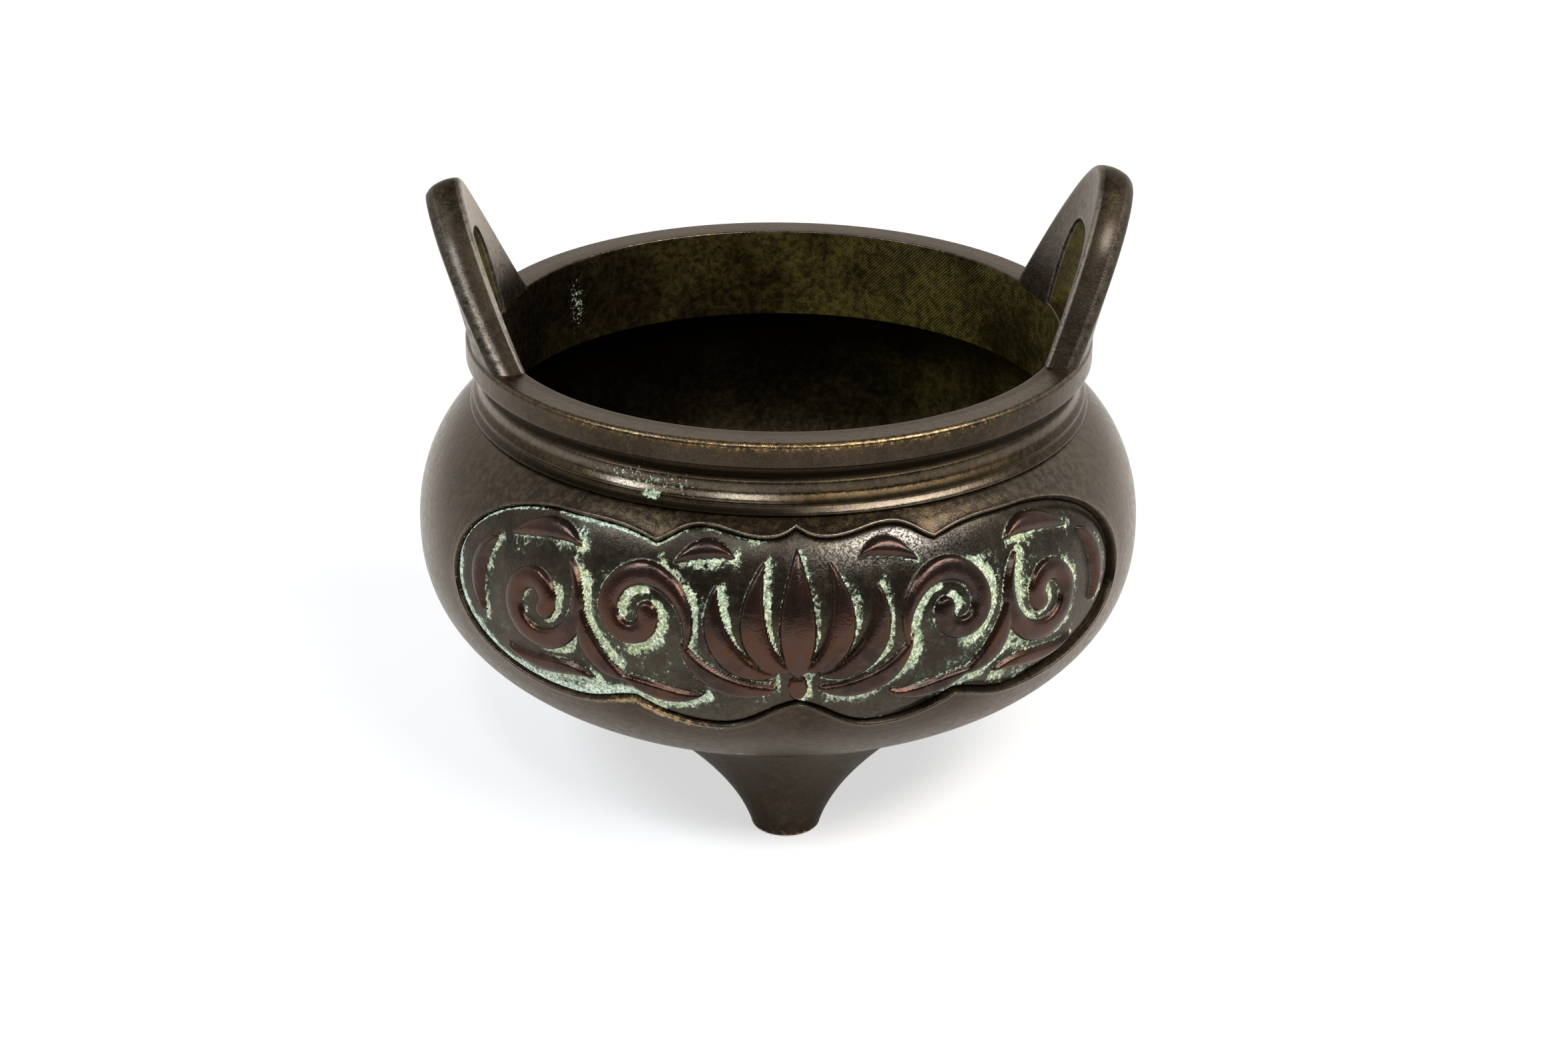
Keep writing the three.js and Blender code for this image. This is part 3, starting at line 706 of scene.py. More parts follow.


# What the panel's finish reads. The crust is thickest beside the strokes' right flanks, found by how the
# gap grows to the right, and along the rim at the left; it keeps off the strokes and off the painted
# highlight on the ground.
def panelValues(x, y, rimGap, strokeGap):
    growth = np.gradient(strokeGap, axis=0) / np.gradient(x, axis=0)
    fall = np.gradient(strokeGap, axis=1) / np.gradient(y, axis=1)
    rightFlank = easeBetween(growth - 0.35 * fall, -0.1, 0.7)
    bare = patchesAlong(x, panel["bareFlanks"])
    bare = bare + patchesAlong(x, panel["bareUpperFlanks"]) * easeBetween(y, -14, -2)
    beside = np.clip(1 - strokeGap / 2.8, 0, 1) * (1.25 * rightFlank - bare)
    footLine = 0.55 * bell(strokeGap, 0.15, 0.2) * (1 - rightFlank)
    between = patchesAlong(x, panel["overgrown"]) * bell(strokeGap, 2.0, 2.4) * easeBetween(y, 11, 3)
    upperRim = patchesAlong(x, panel["crustedRim"]) * bell(rimGap, 0.5, 0.35) * (y > 0)
    leftRim = 0.95 * easeBetween(x, -20, -34) * bell(rimGap, 0.5, 0.35)
    lowerLeft = 1.1 * easeBetween(x, -24, -31) * easeBetween(y, 2, -3) * bell(rimGap, 1.0, 1.1)
    crust = beside + footLine + between + upperRim + leftRim + lowerLeft
    crust = np.where(strokeGap < 0.05, np.minimum(crust, -1.0), crust)
    # A painted highlight on the ground under the upper rim, right of the middle.
    polishAndPaintedSheen = patchesAlong(x, panel["paintedSheenOnGround"]) * easeBetween(y, 6.5, 9.5)
    polishAndPaintedSheen = polishAndPaintedSheen * easeBetween(rimGap, 0.4, 1.2) * easeBetween(rimGap, 7.0, 4.0)
    polishAndPaintedSheen = polishAndPaintedSheen * easeBetween(strokeGap, 0.2, 0.6)
    return {
        "strokeGap": strokeGap,
        "crust": crust - 0.8 * polishAndPaintedSheen,
        "blue": easeBetween(x, -20, -50) * bell(rimGap, 0.8, 2.4),
        "worn": bell(strokeGap, -0.4, 0.3) * (0.2 + patchesAlong(x, panel["wornStrokes"])),
        "polishAndPaintedSheen": polishAndPaintedSheen,
        # A painted bluish sheen on the upper parts of the strokes.
        "paintedCoolSheen": 0.4 * easeBetween(y, 0, 9) * bell(strokeGap, -1.4, 1.2),
    }


# Columns run across the panel, closer together towards its pointed ends; rows run from the lower edge
# to the upper one, then back behind the plate.
def panelGrid():
    reach, backRows = panel["reach"] - panel["gap"], panel["backRows"]
    tip = reach * panel["endShare"]
    quarter = np.linspace(0, math.pi / 2, panel["endColumns"])[1:]
    end = tip + (reach - tip) * np.sin(quarter)
    across = np.concatenate([-end[::-1], np.linspace(-tip, tip, panel["columns"]), end])
    upper, lower = bothEdges(panel["gap"])
    top = np.interp(across, upper[:, 0], upper[:, 1])
    bottom = np.interp(across, lower[:, 0], lower[:, 1])
    share = np.linspace(0, 1, panel["rows"])
    x = np.broadcast_to(across[:, None], (len(across), len(share)))
    y = bottom[:, None] + (top - bottom)[:, None] * share
    rimGap = gapToOutline(x, y, 0.5)
    height, strokeGap = reliefField(x, y)
    face = onBelly(x, y, groundLift(x, y, rimGap) + height)
    behind = np.linspace(panel["rows"] - 1, 0, backRows).astype(int)
    back = onBelly(x[:, behind], y[:, behind], -panel["sink"] - panel["thickness"] + 0 * x[:, behind])
    values = panelValues(x, y, rimGap, strokeGap)
    padded = {key: np.pad(field, ((0, 0), (0, backRows)), mode="edge") for key, field in values.items()}
    return np.concatenate([face, back], 1), padded


plate, plateValues = panelGrid()
for name, node, angle in (("reliefFront", "front_panel", 0), ("reliefRear", "rear_panel", 180)):
    grid = {"points": turned(plate, angle), "values": plateValues}
    makePiece(name, [grid], node, reliefBronze)
print("panels laid in")

# The bowl and the lips round its panels

belly = {
    "recess": 2.6,  # how deep the skin dips under a panel
    "recessEdge": (0.8, 0.2),  # where the dip starts and ends outside the panel's outline
    "golden": 0.1,  # all over
    "goldenNeck": 0.5,  # and this much more towards the neck
    "goldenHeights": (62, 75),
    "goldenRound": 0.45,  # share of the latter all the way round
    "goldenFront": (6, 50),  # side and width of where the rest is
    # heights and sides of the painted sheen on the shoulder
    "sheenHeights": (56, 70),
    "sheenSides": [(60, 34, 0.25), (-60, 35, 0.1)],  # side, width and strength
    # strength of the painted shade on the lower belly, and the heights over which it grows
    "shadeStrength": 0.45,
    "shadeHeights": (46, 26),
    "flecks": [(-9, 4, 26.0, 1.0, 0.5)],
    "mossSide": (112, 62),
    "mossHeights": (14, 30),
    "hollowShade": 0.9,
    "hollowUnshaded": (122, 74),  # side and width of where the hollow has no painted shade
}
lip = {
    "spacing": 0.6,
    # how far out from the outline, and how high over the skin
    "section": [
        (-0.1, -2.5), (-0.09, -1), (-0.06, -0.35), (-0.02, -0.1), (0.02, 0.05), (0.07, 0.13), (0.14, 0.18),
        (0.22, 0.19), (0.32, 0.17), (0.44, 0.13), (0.58, 0.1), (0.8, 0.07), (1.2, 0.045), (1.7, 0.03),
        (2.3, 0.02), (2.9, -0.03),
    ],
    "crest": (0.14, 0.16),  # place and width of its brightest line, a crest with pale polishing that is partly a painted highlight
    "upperMiddle": (0, 30),
    "lowerLeft": (-28, 14),
    "leftEnd": (-40, -60),
}


# How golden the skin is: more towards the neck and at the front, less round the sides and the back.
def goldenAt(height, side):
    share = belly["goldenRound"] + (1 - belly["goldenRound"]) * bellRound(side, *belly["goldenFront"])
    return belly["golden"] + belly["goldenNeck"] * easeBetween(height, *belly["goldenHeights"]) * share


# Painted sheen on the shoulder: a little at the left, more at the right.
def paintedSheenAt(height, side):
    paintedSheenPatches = [strength * bellRound(side, at, width) for at, width, strength in belly["sheenSides"]]
    return easeBetween(height, *belly["sheenHeights"]) * sum(paintedSheenPatches)


# Painted shade on the belly: more and more from a little under its widest circle down to the feet.
def paintedShadeAt(height):
    return belly["shadeStrength"] * easeBetween(height, *belly["shadeHeights"])


# The bowl's profile from the middle of the hollow over its edge to the middle of the underside, and the
# number of its first point on the skin.
def bowlProfile():
    wall, depth, power = vessel["wall"], vessel["bellyDepth"], vessel["bellyFullness"]
    level, edge = vessel["bellyLevel"], vessel["edgeHeight"]
    bore = vessel["boreRadius"]
    dive = np.sin(np.radians(np.linspace(90, 0, 32))) ** (2 / power)
    share = (bore - vessel["bellyRadius"] + shoulderReach) / (shoulderReach - wall)
    boreEnd = level + (shoulderRise - wall) * math.sqrt(1 - share * share)
    hollow = np.concatenate([level - (depth - wall) * dive, np.linspace(level, boreEnd, 14)[1:]])
    inside = np.stack([bellyAt(hollow, wall), hollow], -1)
    inside[0, 0] = 0
    mouth = [(bore, boreEnd + 0.4), (bore, edge)]
    underside = level - depth * np.sin(np.radians(np.linspace(0, 90, 60))) ** (2 / power)
    skin = np.concatenate([np.linspace(edge, level, 36), underside[1:]])
    outside = np.stack([bellyAt(skin), skin], -1)
    outside[-1, 0] = 0
    return np.vstack([inside, mouth, outside]), len(inside) + len(mouth)


# Signed distance to the panel's outline on the developed belly, negative inside it.
def panelDistance(x, y):
    upper, lower = bothEdges(0)
    farthest = 8
    gap = np.full(x.shape, 30.0)
    near = (np.abs(x) < panel["reach"] + farthest) & (np.abs(y) < panel["fall"] + farthest)
    gap[near] = gapToOutline(x[near], y[near], 0.8)
    inside = (y < np.interp(x, upper[:, 0], upper[:, 1])) & (y > np.interp(x, lower[:, 0], lower[:, 1]))
    return np.where(inside & (np.abs(x) < panel["reach"]), -gap, gap)


# The turned bowl, whose skin dips inside the panels' outlines.
def bowlGrid():
    profile, firstSkin = bowlProfile()
    points, side = turnedProfile(profile)
    fromMiddle = np.abs(np.abs(np.radians(side - 90)) - math.pi / 2)  # to the nearer panel's middle
    x = np.broadcast_to(fromMiddle * vessel["bellyRadius"], points[firstSkin:].shape[:2])
    distance = panelDistance(x, points[firstSkin:, :, 2] - panel["level"])
    radius = np.broadcast_to(profile[firstSkin:, 0, None], x.shape)
    sunk = radius - belly["recess"] * easeBetween(distance, *belly["recessEdge"]) * (radius > 20)
    points[firstSkin:, :, :2] *= (sunk / np.maximum(radius, metre))[:, :, None]
    z = profile[:, 1, None]
    outside = np.arange(len(profile))[:, None] >= firstSkin
    moss = bellRound(side, *belly["mossSide"]) * easeBetween(z, *belly["mossHeights"])
    # Painted shade inside the hollow, all round but at the right.
    shadeStrength = belly["hollowShade"] * (1 - bellRound(side, *belly["hollowUnshaded"]))
    values = {
        "golden": goldenAt(z, side) * outside,
        "polishAndPaintedSheen": paintedSheenAt(z, side) * outside,
        "crust": patchesRound(side, z, belly["flecks"]) * outside,
        "moss": moss * ~outside,
        "paintedShade": np.where(outside, paintedShadeAt(z), shadeStrength),
    }
    return {"points": points, "values": values}


# The soft lip round a panel: rings that follow the outline, from the recess's floor over the edge and out
# onto the skin, where the last ring dips just under it.
def lipGrid(angle):
    points, outward = outline(lip["spacing"])
    out, lift = np.array(lip["section"]).T
    x = points[:, 0, None] + outward[:, 0, None] * out
    y = points[:, 1, None] + outward[:, 1, None] * out
    side, height = np.degrees(x / vessel["bellyRadius"]) + angle, panel["level"] + y
    across, above = points[:, 0, None], points[:, 1, None] > 0
    upperMiddle = bell(across, *lip["upperMiddle"]) * above
    lowerLeft = bell(across, *lip["lowerLeft"]) * ~above
    crest = bell(out, *lip["crest"])
    return {
        "points": turned(onBelly(x, y, lift * np.ones(x.shape)), angle),
        "joinRows": True,
        "joinColumns": False,
        "values": {
            "worn": 0.2 * upperMiddle * crest + 0.55 * lowerLeft * bell(out, 0.5, 0.8),
            # Polishing on the crest, partly a painted highlight line; painted sheen and shade go on as on the
            # belly.
            "polishAndPaintedSheen": (0.5 * upperMiddle + 0.12) * crest + paintedSheenAt(height, side),
            "crust": 0.3 * easeBetween(across, *lip["leftEnd"]) * bell(out, -0.1, 0.25),
            "golden": goldenAt(height, side),
            "paintedShade": paintedShadeAt(height),
        },
    }


makePiece("bowlBody", [bowlGrid(), lipGrid(0), lipGrid(180)], "bowl", bowlBronze)

# The collar

allRound = 1e6  # a width in degrees that goes all the way round
collar = {
    "corners": [
        (56.5, 75.7), (56.5, 72.0), (53.7, 72.0), (53.7, 90.0), (59.4, 90.0), (60.0, 89.4), (60.0, 85.4),
        (59.5, 84.9), (57.1, 84.5), (57.0, 82.3), (57.75, 81.6), (57.95, 79.6), (58.9, 78.35), (58.9, 78.0),
        (58.4, 77.6), (58.6, 77.3), (59.45, 76.3), (59.5, 75.95), (59.2, 75.7), (58.7, 75.6), (56.5, 75.66),
    ],
    "softness": 0.22,  # rounding of the rim's corners
    "neckSoftness": 0.26,  # rounding of the ridges
    "walkStep": 0.06,
    "longStep": 0.9,
    "crowd": (-0.7, -0.45, -0.25, -0.1, 0.1, 0.25, 0.45, 0.7),  # steps on both sides of a corner
    "insideTo": 55.5,  # radius up to which a point is in the bore
    "topHeight": 89.6,  # above this a point is on the rim's top
    "neckTop": 84.0,
    "outerEdge": (59.7, 89.6),  # radius and height
    "innerEdge": (53.8, 89.9),
    "upperRidge": (78.3, 0.7),  # height and spread
    "lowerRidge": (76.6, 0.8),
    "grooveCrease": (82.9, 1.1),
    # sides and widths
    "wornFront": (4, 40),
    "wornInside": (-155, 45),
    "goldenFront": (-8, 45),
    "goldenTop": (75, 35),
    "goldenBore": (-175, 42),
    "mossyBore": (125, 80),
    # where the bore has painted shade
    "shadedBore": (-110, 55),
    "hatchedBore": (118, 42),
    # rows of a side, its width, a height, its spread and a strength
    # painted highlights on the ridges, as pale polishing
    "paintedHighlight": [
        (21, 15, 76.6, 0.8, 0.4),
        (-10, 6, 79.0, 0.9, 0.7),
        (-31, 4, 78.8, 0.8, 0.8),
    ],
    # a painted sheen on the neck, as pale polishing
    "paintedSheenNeck": [(-50, 35, 80.6, 0.8, 0.12), (0, allRound, 80.6, 0.8, 0.1)],
    "goldenBand": [(14, 24, 79.2, 1.0, 0.65)],
    "flecks": [(-27, 15, 80.2, 2.6, 0.46), (-26, 1.6, 77.6, 0.9, 0.8)],
    "boreFlecks": [(-134, 3, 81, 7, 0.5)],
}


# A path averaged along its length with a bell of a given softness.
def softened(path, softness):
    reach = int(3 * softness / collar["walkStep"])
    weights = bell(np.arange(-reach, reach + 1) * collar["walkStep"], 0, softness * 1.4)
    weights = weights / weights.sum()
    padded = np.pad(path, ((reach, reach), (0, 0)), mode="reflect", reflect_type="odd")
    return np.stack([np.convolve(padded[:, k], weights, "valid") for k in (0, 1)], -1)


# The corner list walked at fine even steps and softened, which rounds every corner, then read at places
# that crowd round the corners.
def collarProfile():
    corners = np.array(collar["corners"])
    run = lengthAlong(corners)
    fine = np.arange(0, run[-1], collar["walkStep"])
    walk = readPath(fine, run, corners)
    onNeck = (easeBetween(walk[:, 1], 84, 82.5) * (walk[:, 0] > 56.9))[:, None]
    soft = softened(walk, collar["softness"]) * (1 - onNeck) + softened(walk, collar["neckSoftness"]) * onNeck
    crowd = (run[1:-1, None] + np.array(collar["crowd"])).ravel()
    at = np.sort(np.concatenate([crowd, np.arange(0, run[-1], collar["longStep"])]))
    at = at[np.concatenate([[True], np.diff(at) > 0.09])]
    return readPath(at, fine, soft)


# What the collar's finish reads: the rim's outer edge is worn to gold at the front with a golden halo
# round it, the ridges carry painted highlights in some places and painted shade in others, the upper
# ridge is dull at the right, the groove's crease has painted shade, and the bore is mossy at the right
# and has painted shade at the left.
def collarValues(r, z, side):
    outside, belowTop = r > collar["insideTo"], z < collar["topHeight"]
    toOuterEdge = np.hypot(r - collar["outerEdge"][0], z - collar["outerEdge"][1])
    toInnerEdge = np.hypot(r - collar["innerEdge"][0], z - collar["innerEdge"][1])
    upperRidge, lowerRidge = bell(z, *collar["upperRidge"]), bell(z, *collar["lowerRidge"])
    wornFront = 0.25 + 0.75 * bellRound(side, *collar["wornFront"])
    worn = 0.42 * bell(toOuterEdge, 0, 1.15) * wornFront
    worn = worn + 0.3 * bell(toInnerEdge, 0, 0.4) * bellRound(side, *collar["wornInside"])
    onTop = easeBetween(z, 89.3, 89.7) * (0.45 + 0.6 * bellRound(side, *collar["goldenTop"]))
    # Painted highlights on the ridges and a painted sheen on the neck.
    paintedSheenPatches = patchesRound(side, z, collar["paintedHighlight"])
    paintedSheenPatches = paintedSheenPatches + patchesRound(side, z, collar["paintedSheenNeck"]) * (r > 57.4)
    halo = bell(z, 89.3, 0.9) * (r > 59.6) + bell(r, 59.4, 1.0) * ~belowTop
    halo = halo * bellRound(side, *collar["goldenFront"])
    onRidges = 0.3 + patchesRound(side, z, collar["goldenBand"])
    onRim = np.minimum(0.05 + 0.9 * halo + onTop, 1)
    golden = np.where((z < collar["neckTop"]) & outside, onRidges, onRim)
    golden = np.where(outside | (z > 89.3), golden, 0.8 * bellRound(side, *collar["goldenBore"]))
    dull = upperRidge * easeBetween(side, -4, 3) * easeBetween(side, 60, 30)
    mossy = 0.3 + 0.7 * bellRound(side, *collar["mossyBore"])
    # Painted shade in the groove's crease, on the upper ridge's dull part and the lower ridge's left.
    shaded = bell(z, *collar["grooveCrease"]) * (r < 57.6) + 0.75 * dull
    shaded = shaded + lowerRidge * easeBetween(side, 8, -4) * easeBetween(side, -75, -45)
    # Painted shade on the bore's left.
    inShade = 0.75 * bellRound(side, *collar["shadedBore"]) * belowTop
    onBore = (np.abs(r - vessel["mouthRadius"]) < 0.3) & (z > 72.5) & (z < 89.2)
    flecks = patchesRound(side, z, collar["flecks"])
    boreFlecks = patchesRound(side, z, collar["boreFlecks"]) * (r < 54.5)
    return {
        "worn": worn,
        "golden": golden,
        "polishAndPaintedSheen": 0.2 * bell(toInnerEdge, 0, 0.3) + (paintedSheenPatches + 0.26 * onTop) * outside,
        "moss": np.where(outside, 0.25 * dull, mossy) * belowTop,
        "paintedShade": np.where(outside, np.minimum(shaded, 1), inShade),
        "crust": np.where(outside, flecks, boreFlecks),
        "hatch": onBore * bellRound(side, *collar["hatchedBore"]),
    }


# The turned collar, closed from its last ring to its first.
def collarGrid():
    profile = collarProfile()
    points, side = turnedProfile(profile)
    values = collarValues(profile[:, 0, None], profile[:, 1, None], side)
    return {"points": points, "joinRows": True, "values": values}


makePiece("collarRing", [collarGrid()], "collar", bowlBronze)
print("bowl and collar turned")

# The ears

ear = {
    "height": 30.2,
    "halfSpan": 26.0,  # degrees round the rim
    "crown": 1.65,  # powers of the arch
    "sides": 1.2,
    "loopHeight": 19.1,
    "loopHalfSpan": 11.0,
    "loopCrown": 3.5,
    "loopSides": 0.56,
    "footThickness": 6.0,
    "topThickness": 7.2,
    "flare": 12.2,
    "roundings": (0.6, 0.9, 1.7, 1.6),  # loop and outer edge of the inner face, then of the outer face
    "bulge": 0.85,  # how far the outer edge swells between its corners
    "slant": 0.19,  # how much lower the outer edge gets per millimetre outwards
    "seat": 0.3,  # clear of the rim's top
    "sink": 1.0,  # how far its legs run down into the rim
    "steps": 132,
    "cornerSteps": 9,
    "flatSteps": 9,
    # strength of the painted shade on the ears' outer edges
    "shadeStrength": 0.36,
}


# A point of an arch in shares of its half span and height: a cosine across, and up a power of what
# that cosine's power leaves of 1.
def archPoint(turn, crown, sides):
    across = np.cos(turn)
    return across, np.clip(1 - np.abs(across) ** crown, 0, 1) ** sides


# The band's section, a rectangle with a quarter circle at each corner, for arrays of widths and
# thicknesses: distances along from the loop to the edge, out from the inner face, and how sharp it is.
def bandSection(width, thickness):
    quarter = np.radians(np.linspace(0, 90, ear["cornerSteps"]))
    sideways = np.linspace(0.06, 0.94, ear["flatSteps"])[None, :]  # points that a swelling bends later
    radii = [np.minimum(size, np.minimum(width, thickness) / 2.4) for size in ear["roundings"]]
    along, out, sharp = [], [], []
    for k, radius in enumerate(radii):
        angle = quarter + math.radians(180 + 90 * k)
        middleAlong = radius if k in (0, 3) else width - radius
        middleOut = radius if k in (0, 1) else thickness - radius
        along.append(middleAlong + radius * np.cos(angle))
        out.append(middleOut + radius * np.sin(angle))
        following = radii[(k + 1) % 4]
        endAlong = (width - following, width, following, 0 * width)[k]
        endOut = (0 * width, thickness - following, thickness, following)[k]
        startAlong, startOut = along[-1][:, -1:], out[-1][:, -1:]
        along.append(startAlong + (endAlong - startAlong) * sideways)
        out.append(startOut + (endOut - startOut) * sideways)
        sharp.append(np.full(quarter.size, 1.0 if k < 2 else 0.35))
        sharp.append(np.zeros(sideways.size))
    return np.concatenate(along, 1), np.concatenate(out, 1), np.concatenate(sharp)


# Right ear's outer edge: a painted highlight in a spot near its shoulder, and painted shade all over.
def rightEdge(across, rise):
    return bell(across, 0.55, 0.16) * bell(rise, 22, 2), np.ones(across.shape)


# Left ear's outer edge: a painted highlight along a line on its legs, painted shade inside of that line.
def leftEdge(across, rise):
    return bell(across, 0.7, 0.08) * easeBetween(rise, 24, 20), 0.7 * easeBetween(across, 0.62, 0.45)


# What an ear's finish reads, from the places along and out in its section and the rise over the rim.
def earValues(own, along, out, width, thickness, rise, sharp):
    onEdge = easeBetween(along / width, 0.93, 0.99) * easeBetween(out, 0.5, 1.0) * easeBetween(rise, 29, 26)
    paintedHighlight, inShade = own["edge"](out / thickness, rise)
    innerFace = easeBetween(out, 0.6, 0.1) * easeBetween(rise, 2, 9)
    # Polishing on sharp edges, a painted reflection on the inner face, a painted highlight on the edge.
    polishAndPaintedSheen = 0.3 * sharp + own["innerPaintedSheen"] * innerFace + own["edgePaintedHighlight"] * onEdge * paintedHighlight
    return {
        "worn": 0.1 * sharp[None, :],
        "golden": 0.1 + 0.25 * easeBetween(rise, 22, 28),
        "moss": 0.9 * bell(along, 0, 1.2) * (out > 0.5),
        "polishAndPaintedSheen": np.minimum(polishAndPaintedSheen, 0.95),
        # painted shade on the outer edge, less under its painted highlight
        "paintedShade": onEdge * np.clip(ear["shadeStrength"] * inShade - 0.6 * paintedHighlight, 0, 1),
    }


# An ear made at +X and turned to its place: an arch of sections between the loop's outline and the ear's
# own, bent round the rim and flared outwards. Its first and last section are sunk into the rim.
def earGrid(own):
    turn = np.radians(np.linspace(0, 180, ear["steps"]))
    loopAcross, loopUp = archPoint(turn, ear["loopCrown"], ear["loopSides"])
    edgeAcross, edgeUp = archPoint(turn, ear["crown"] + own["rounder"], ear["sides"] - own["rounder"] / 2)
    low = np.stack([loopAcross * ear["loopHalfSpan"], loopUp * ear["loopHeight"]], -1)
    high = np.stack([edgeAcross * ear["halfSpan"], edgeUp * (ear["height"] + own["taller"])], -1)
    sink = np.array([0, ear["sink"]])
    low, high = [np.vstack([path[:1] - sink, path, path[-1:] - sink]) for path in (low, high)]
    edgeUp = np.concatenate([[0], edgeUp, [0]])[:, None]
    perDegree = (vessel["mouthRadius"] + 3) * math.pi / 180
    width = np.hypot((high[:, 0] - low[:, 0]) * perDegree, high[:, 1] - low[:, 1])[:, None]
    thickness = ear["footThickness"] + (ear["topThickness"] - ear["footThickness"]) * edgeUp
    along, out, sharp = bandSection(width, thickness)
    swell = ear["bulge"] * (1 - (2 * out / thickness - 1) ** 2) - ear["slant"] * out
    along = along + swell * np.clip(along / width, 0, 1) ** 6
    angle = np.radians(low[:, :1] + (high - low)[:, :1] * along / width)
    rise = low[:, 1:] + (high - low)[:, 1:] * along / width
    flare = math.radians(ear["flare"])
    radius = vessel["mouthRadius"] + rise * math.tan(flare) + out * math.cos(flare)
    z = vessel["rimHeight"] + ear["seat"] + rise - out * math.sin(flare)
    points = np.stack([radius * np.cos(angle), radius * np.sin(angle), z], -1)
    values = earValues(own, along, out, width, thickness, rise, sharp)
    return {"points": turned(points, own["angle"]), "values": values}


# Each ear's inner face has a pale painted reflection, most on the left, and its edge a painted highlight.
ears = {
    "earRight": {
        "node": "ear_right",
        "angle": 0,
        "taller": 0.5,  # added to the ears' height
        "rounder": 0.2,  # added to their crown
        "innerPaintedSheen": 0.12,
        "edgePaintedHighlight": 0.2,
        "edge": rightEdge,
    },
    "earLeft": {
        "node": "ear_left",
        "angle": 180,
        "taller": -0.3,
        "rounder": 0,
        "innerPaintedSheen": 0.95,
        "edgePaintedHighlight": 0.6,
        "edge": leftEdge,
    },
}
for name, own in ears.items():
    makePiece(name, [earGrid(own)], own["node"], earBronze)
print("ears set on the rim")

# The feet and their rivets

foot = {
    "circle": 33.0,  # from the burner's axis to a foot's
    "sole": 5.3,  # radius
    "soleRound": 1.2,
    "waist": 6.6,
    "flare": 13.6,  # added to the waist at the belly
    "straightness": 0.43,  # 1 is a cone, 0 a parabola
    "skirt": 1.6,  # the soft band where it runs out onto the belly
    "capInset": 0.6,  # how far its top runs into the belly
    "columns": 96,
    "stemRings": 44,
    "bendRings": 7,
    "golden": 0.2,
    "shadeStrength": 0.16,
    "shadeBehind": 0.4,  # painted shade added away from the side that faces outwards, under the bowl
    "soleWear": 0.38,
}


# Points round a foot's own axis at given radii and heights.
def roundFoot(radius, height, turn):
    return np.stack([radius * np.cos(turn), radius * np.sin(turn) - foot["circle"], height + 0 * turn], -1)


# A foot's rings, each a radius, a height and a wear: the sole, its rounding, a stem whose radius grows by
# a mix of the share climbed and its square, a skirt that runs out on the belly, and a cap inside it.
def footGrid(angle):
    turn = np.linspace(0, 2 * math.pi, foot["columns"], endpoint=False)
    top = foot["waist"] + foot["flare"]

    # height of the underside round a ring of this radius
    def bellyOver(radius):
        return undersideAt(np.hypot(radius * np.cos(turn), radius * np.sin(turn) - foot["circle"]))

    seat = bellyOver(top) - 0.1
    rings = [(0.0, 0.0, 0.0), (foot["sole"] * 0.6, 0.0, 0.0), (foot["sole"] - 0.3, 0.0, 0.1)]
    for share in np.linspace(0, 1, foot["bendRings"]):
        bend = math.radians(90 * share)
        radius = foot["sole"] + (foot["waist"] - foot["sole"]) * math.sin(bend)
        height = foot["soleRound"] * (1 - math.cos(bend)) + 0.01
        rings.append((radius, height, foot["soleWear"] * (1 - abs(share - 0.4))))
    for u in np.linspace(0, 1, foot["stemRings"])[1:]:
        spread = foot["straightness"] * u + (1 - foot["straightness"]) * u * u
        height = foot["soleRound"] + (seat - foot["soleRound"]) * u
        rings.append((foot["waist"] + foot["flare"] * spread, height, 0.0))
    for share in np.linspace(0, 1, foot["bendRings"])[1:]:
        radius = top + foot["skirt"] * share
        rings.append((radius, bellyOver(radius) - 0.1 * (1 - share) ** 2 + 0.04 * share, 0.0))
    for radius in (top, top / 2, 0.0):
        rings.append((radius, bellyOver(radius) + foot["capInset"], 0.0))
    circles = [roundFoot(radius, height, turn) for radius, height, _ in rings]
    # Painted shade on the foot, more on the side under the bowl.
    behind = 1 - bell(np.degrees(turn), 270, 40)
    values = {
        "worn": np.array([wear for _, _, wear in rings])[:, None],
        "golden": np.full((1, 1), foot["golden"]),
        "paintedShade": (foot["shadeStrength"] + foot["shadeBehind"] * behind)[None, :],
    }
    return {"points": turned(np.stack(circles), angle), "flip": True, "values": values}


rivet = {
    "radius": 4.8,
    "edge": 0.55,
    "rise": 2.2,
    "flat": 1.5,  # how deep its seat is cut into the bowl's floor
    "seat": 0.3,
    "shank": 2.6,
    "shankFoot": 9.0,
    "columns": 48,
    "golden": 0.5,
}


# A rivet: a shank, a flat under the head, an upright edge and a dome that is a quarter of an ellipse.
def rivetGrid(angle):
    radius, shank, shankFoot = rivet["radius"], rivet["shank"], rivet["shankFoot"]
    base = float(undersideAt(foot["circle"], vessel["wall"])) - rivet["flat"] + rivet["seat"]
    bend = np.radians(np.linspace(0, 90, 14))
    dome = np.stack([radius * np.cos(bend), base + rivet["edge"] + rivet["rise"] * np.sin(bend)], -1)
    dome[-1, 0] = 0
    below = [(0, shankFoot), (shank, shankFoot), (shank, base), (radius - 0.2, base), (radius, base + 0.15)]
    profile = np.vstack([below, dome])
    turn = np.linspace(0, 2 * math.pi, rivet["columns"], endpoint=False)
    points = roundFoot(profile[:, 0, None], profile[:, 1, None], turn)
    values = {"golden": np.full((1, 1), rivet["golden"])}
    return {"points": turned(points, angle), "flip": True, "values": values}


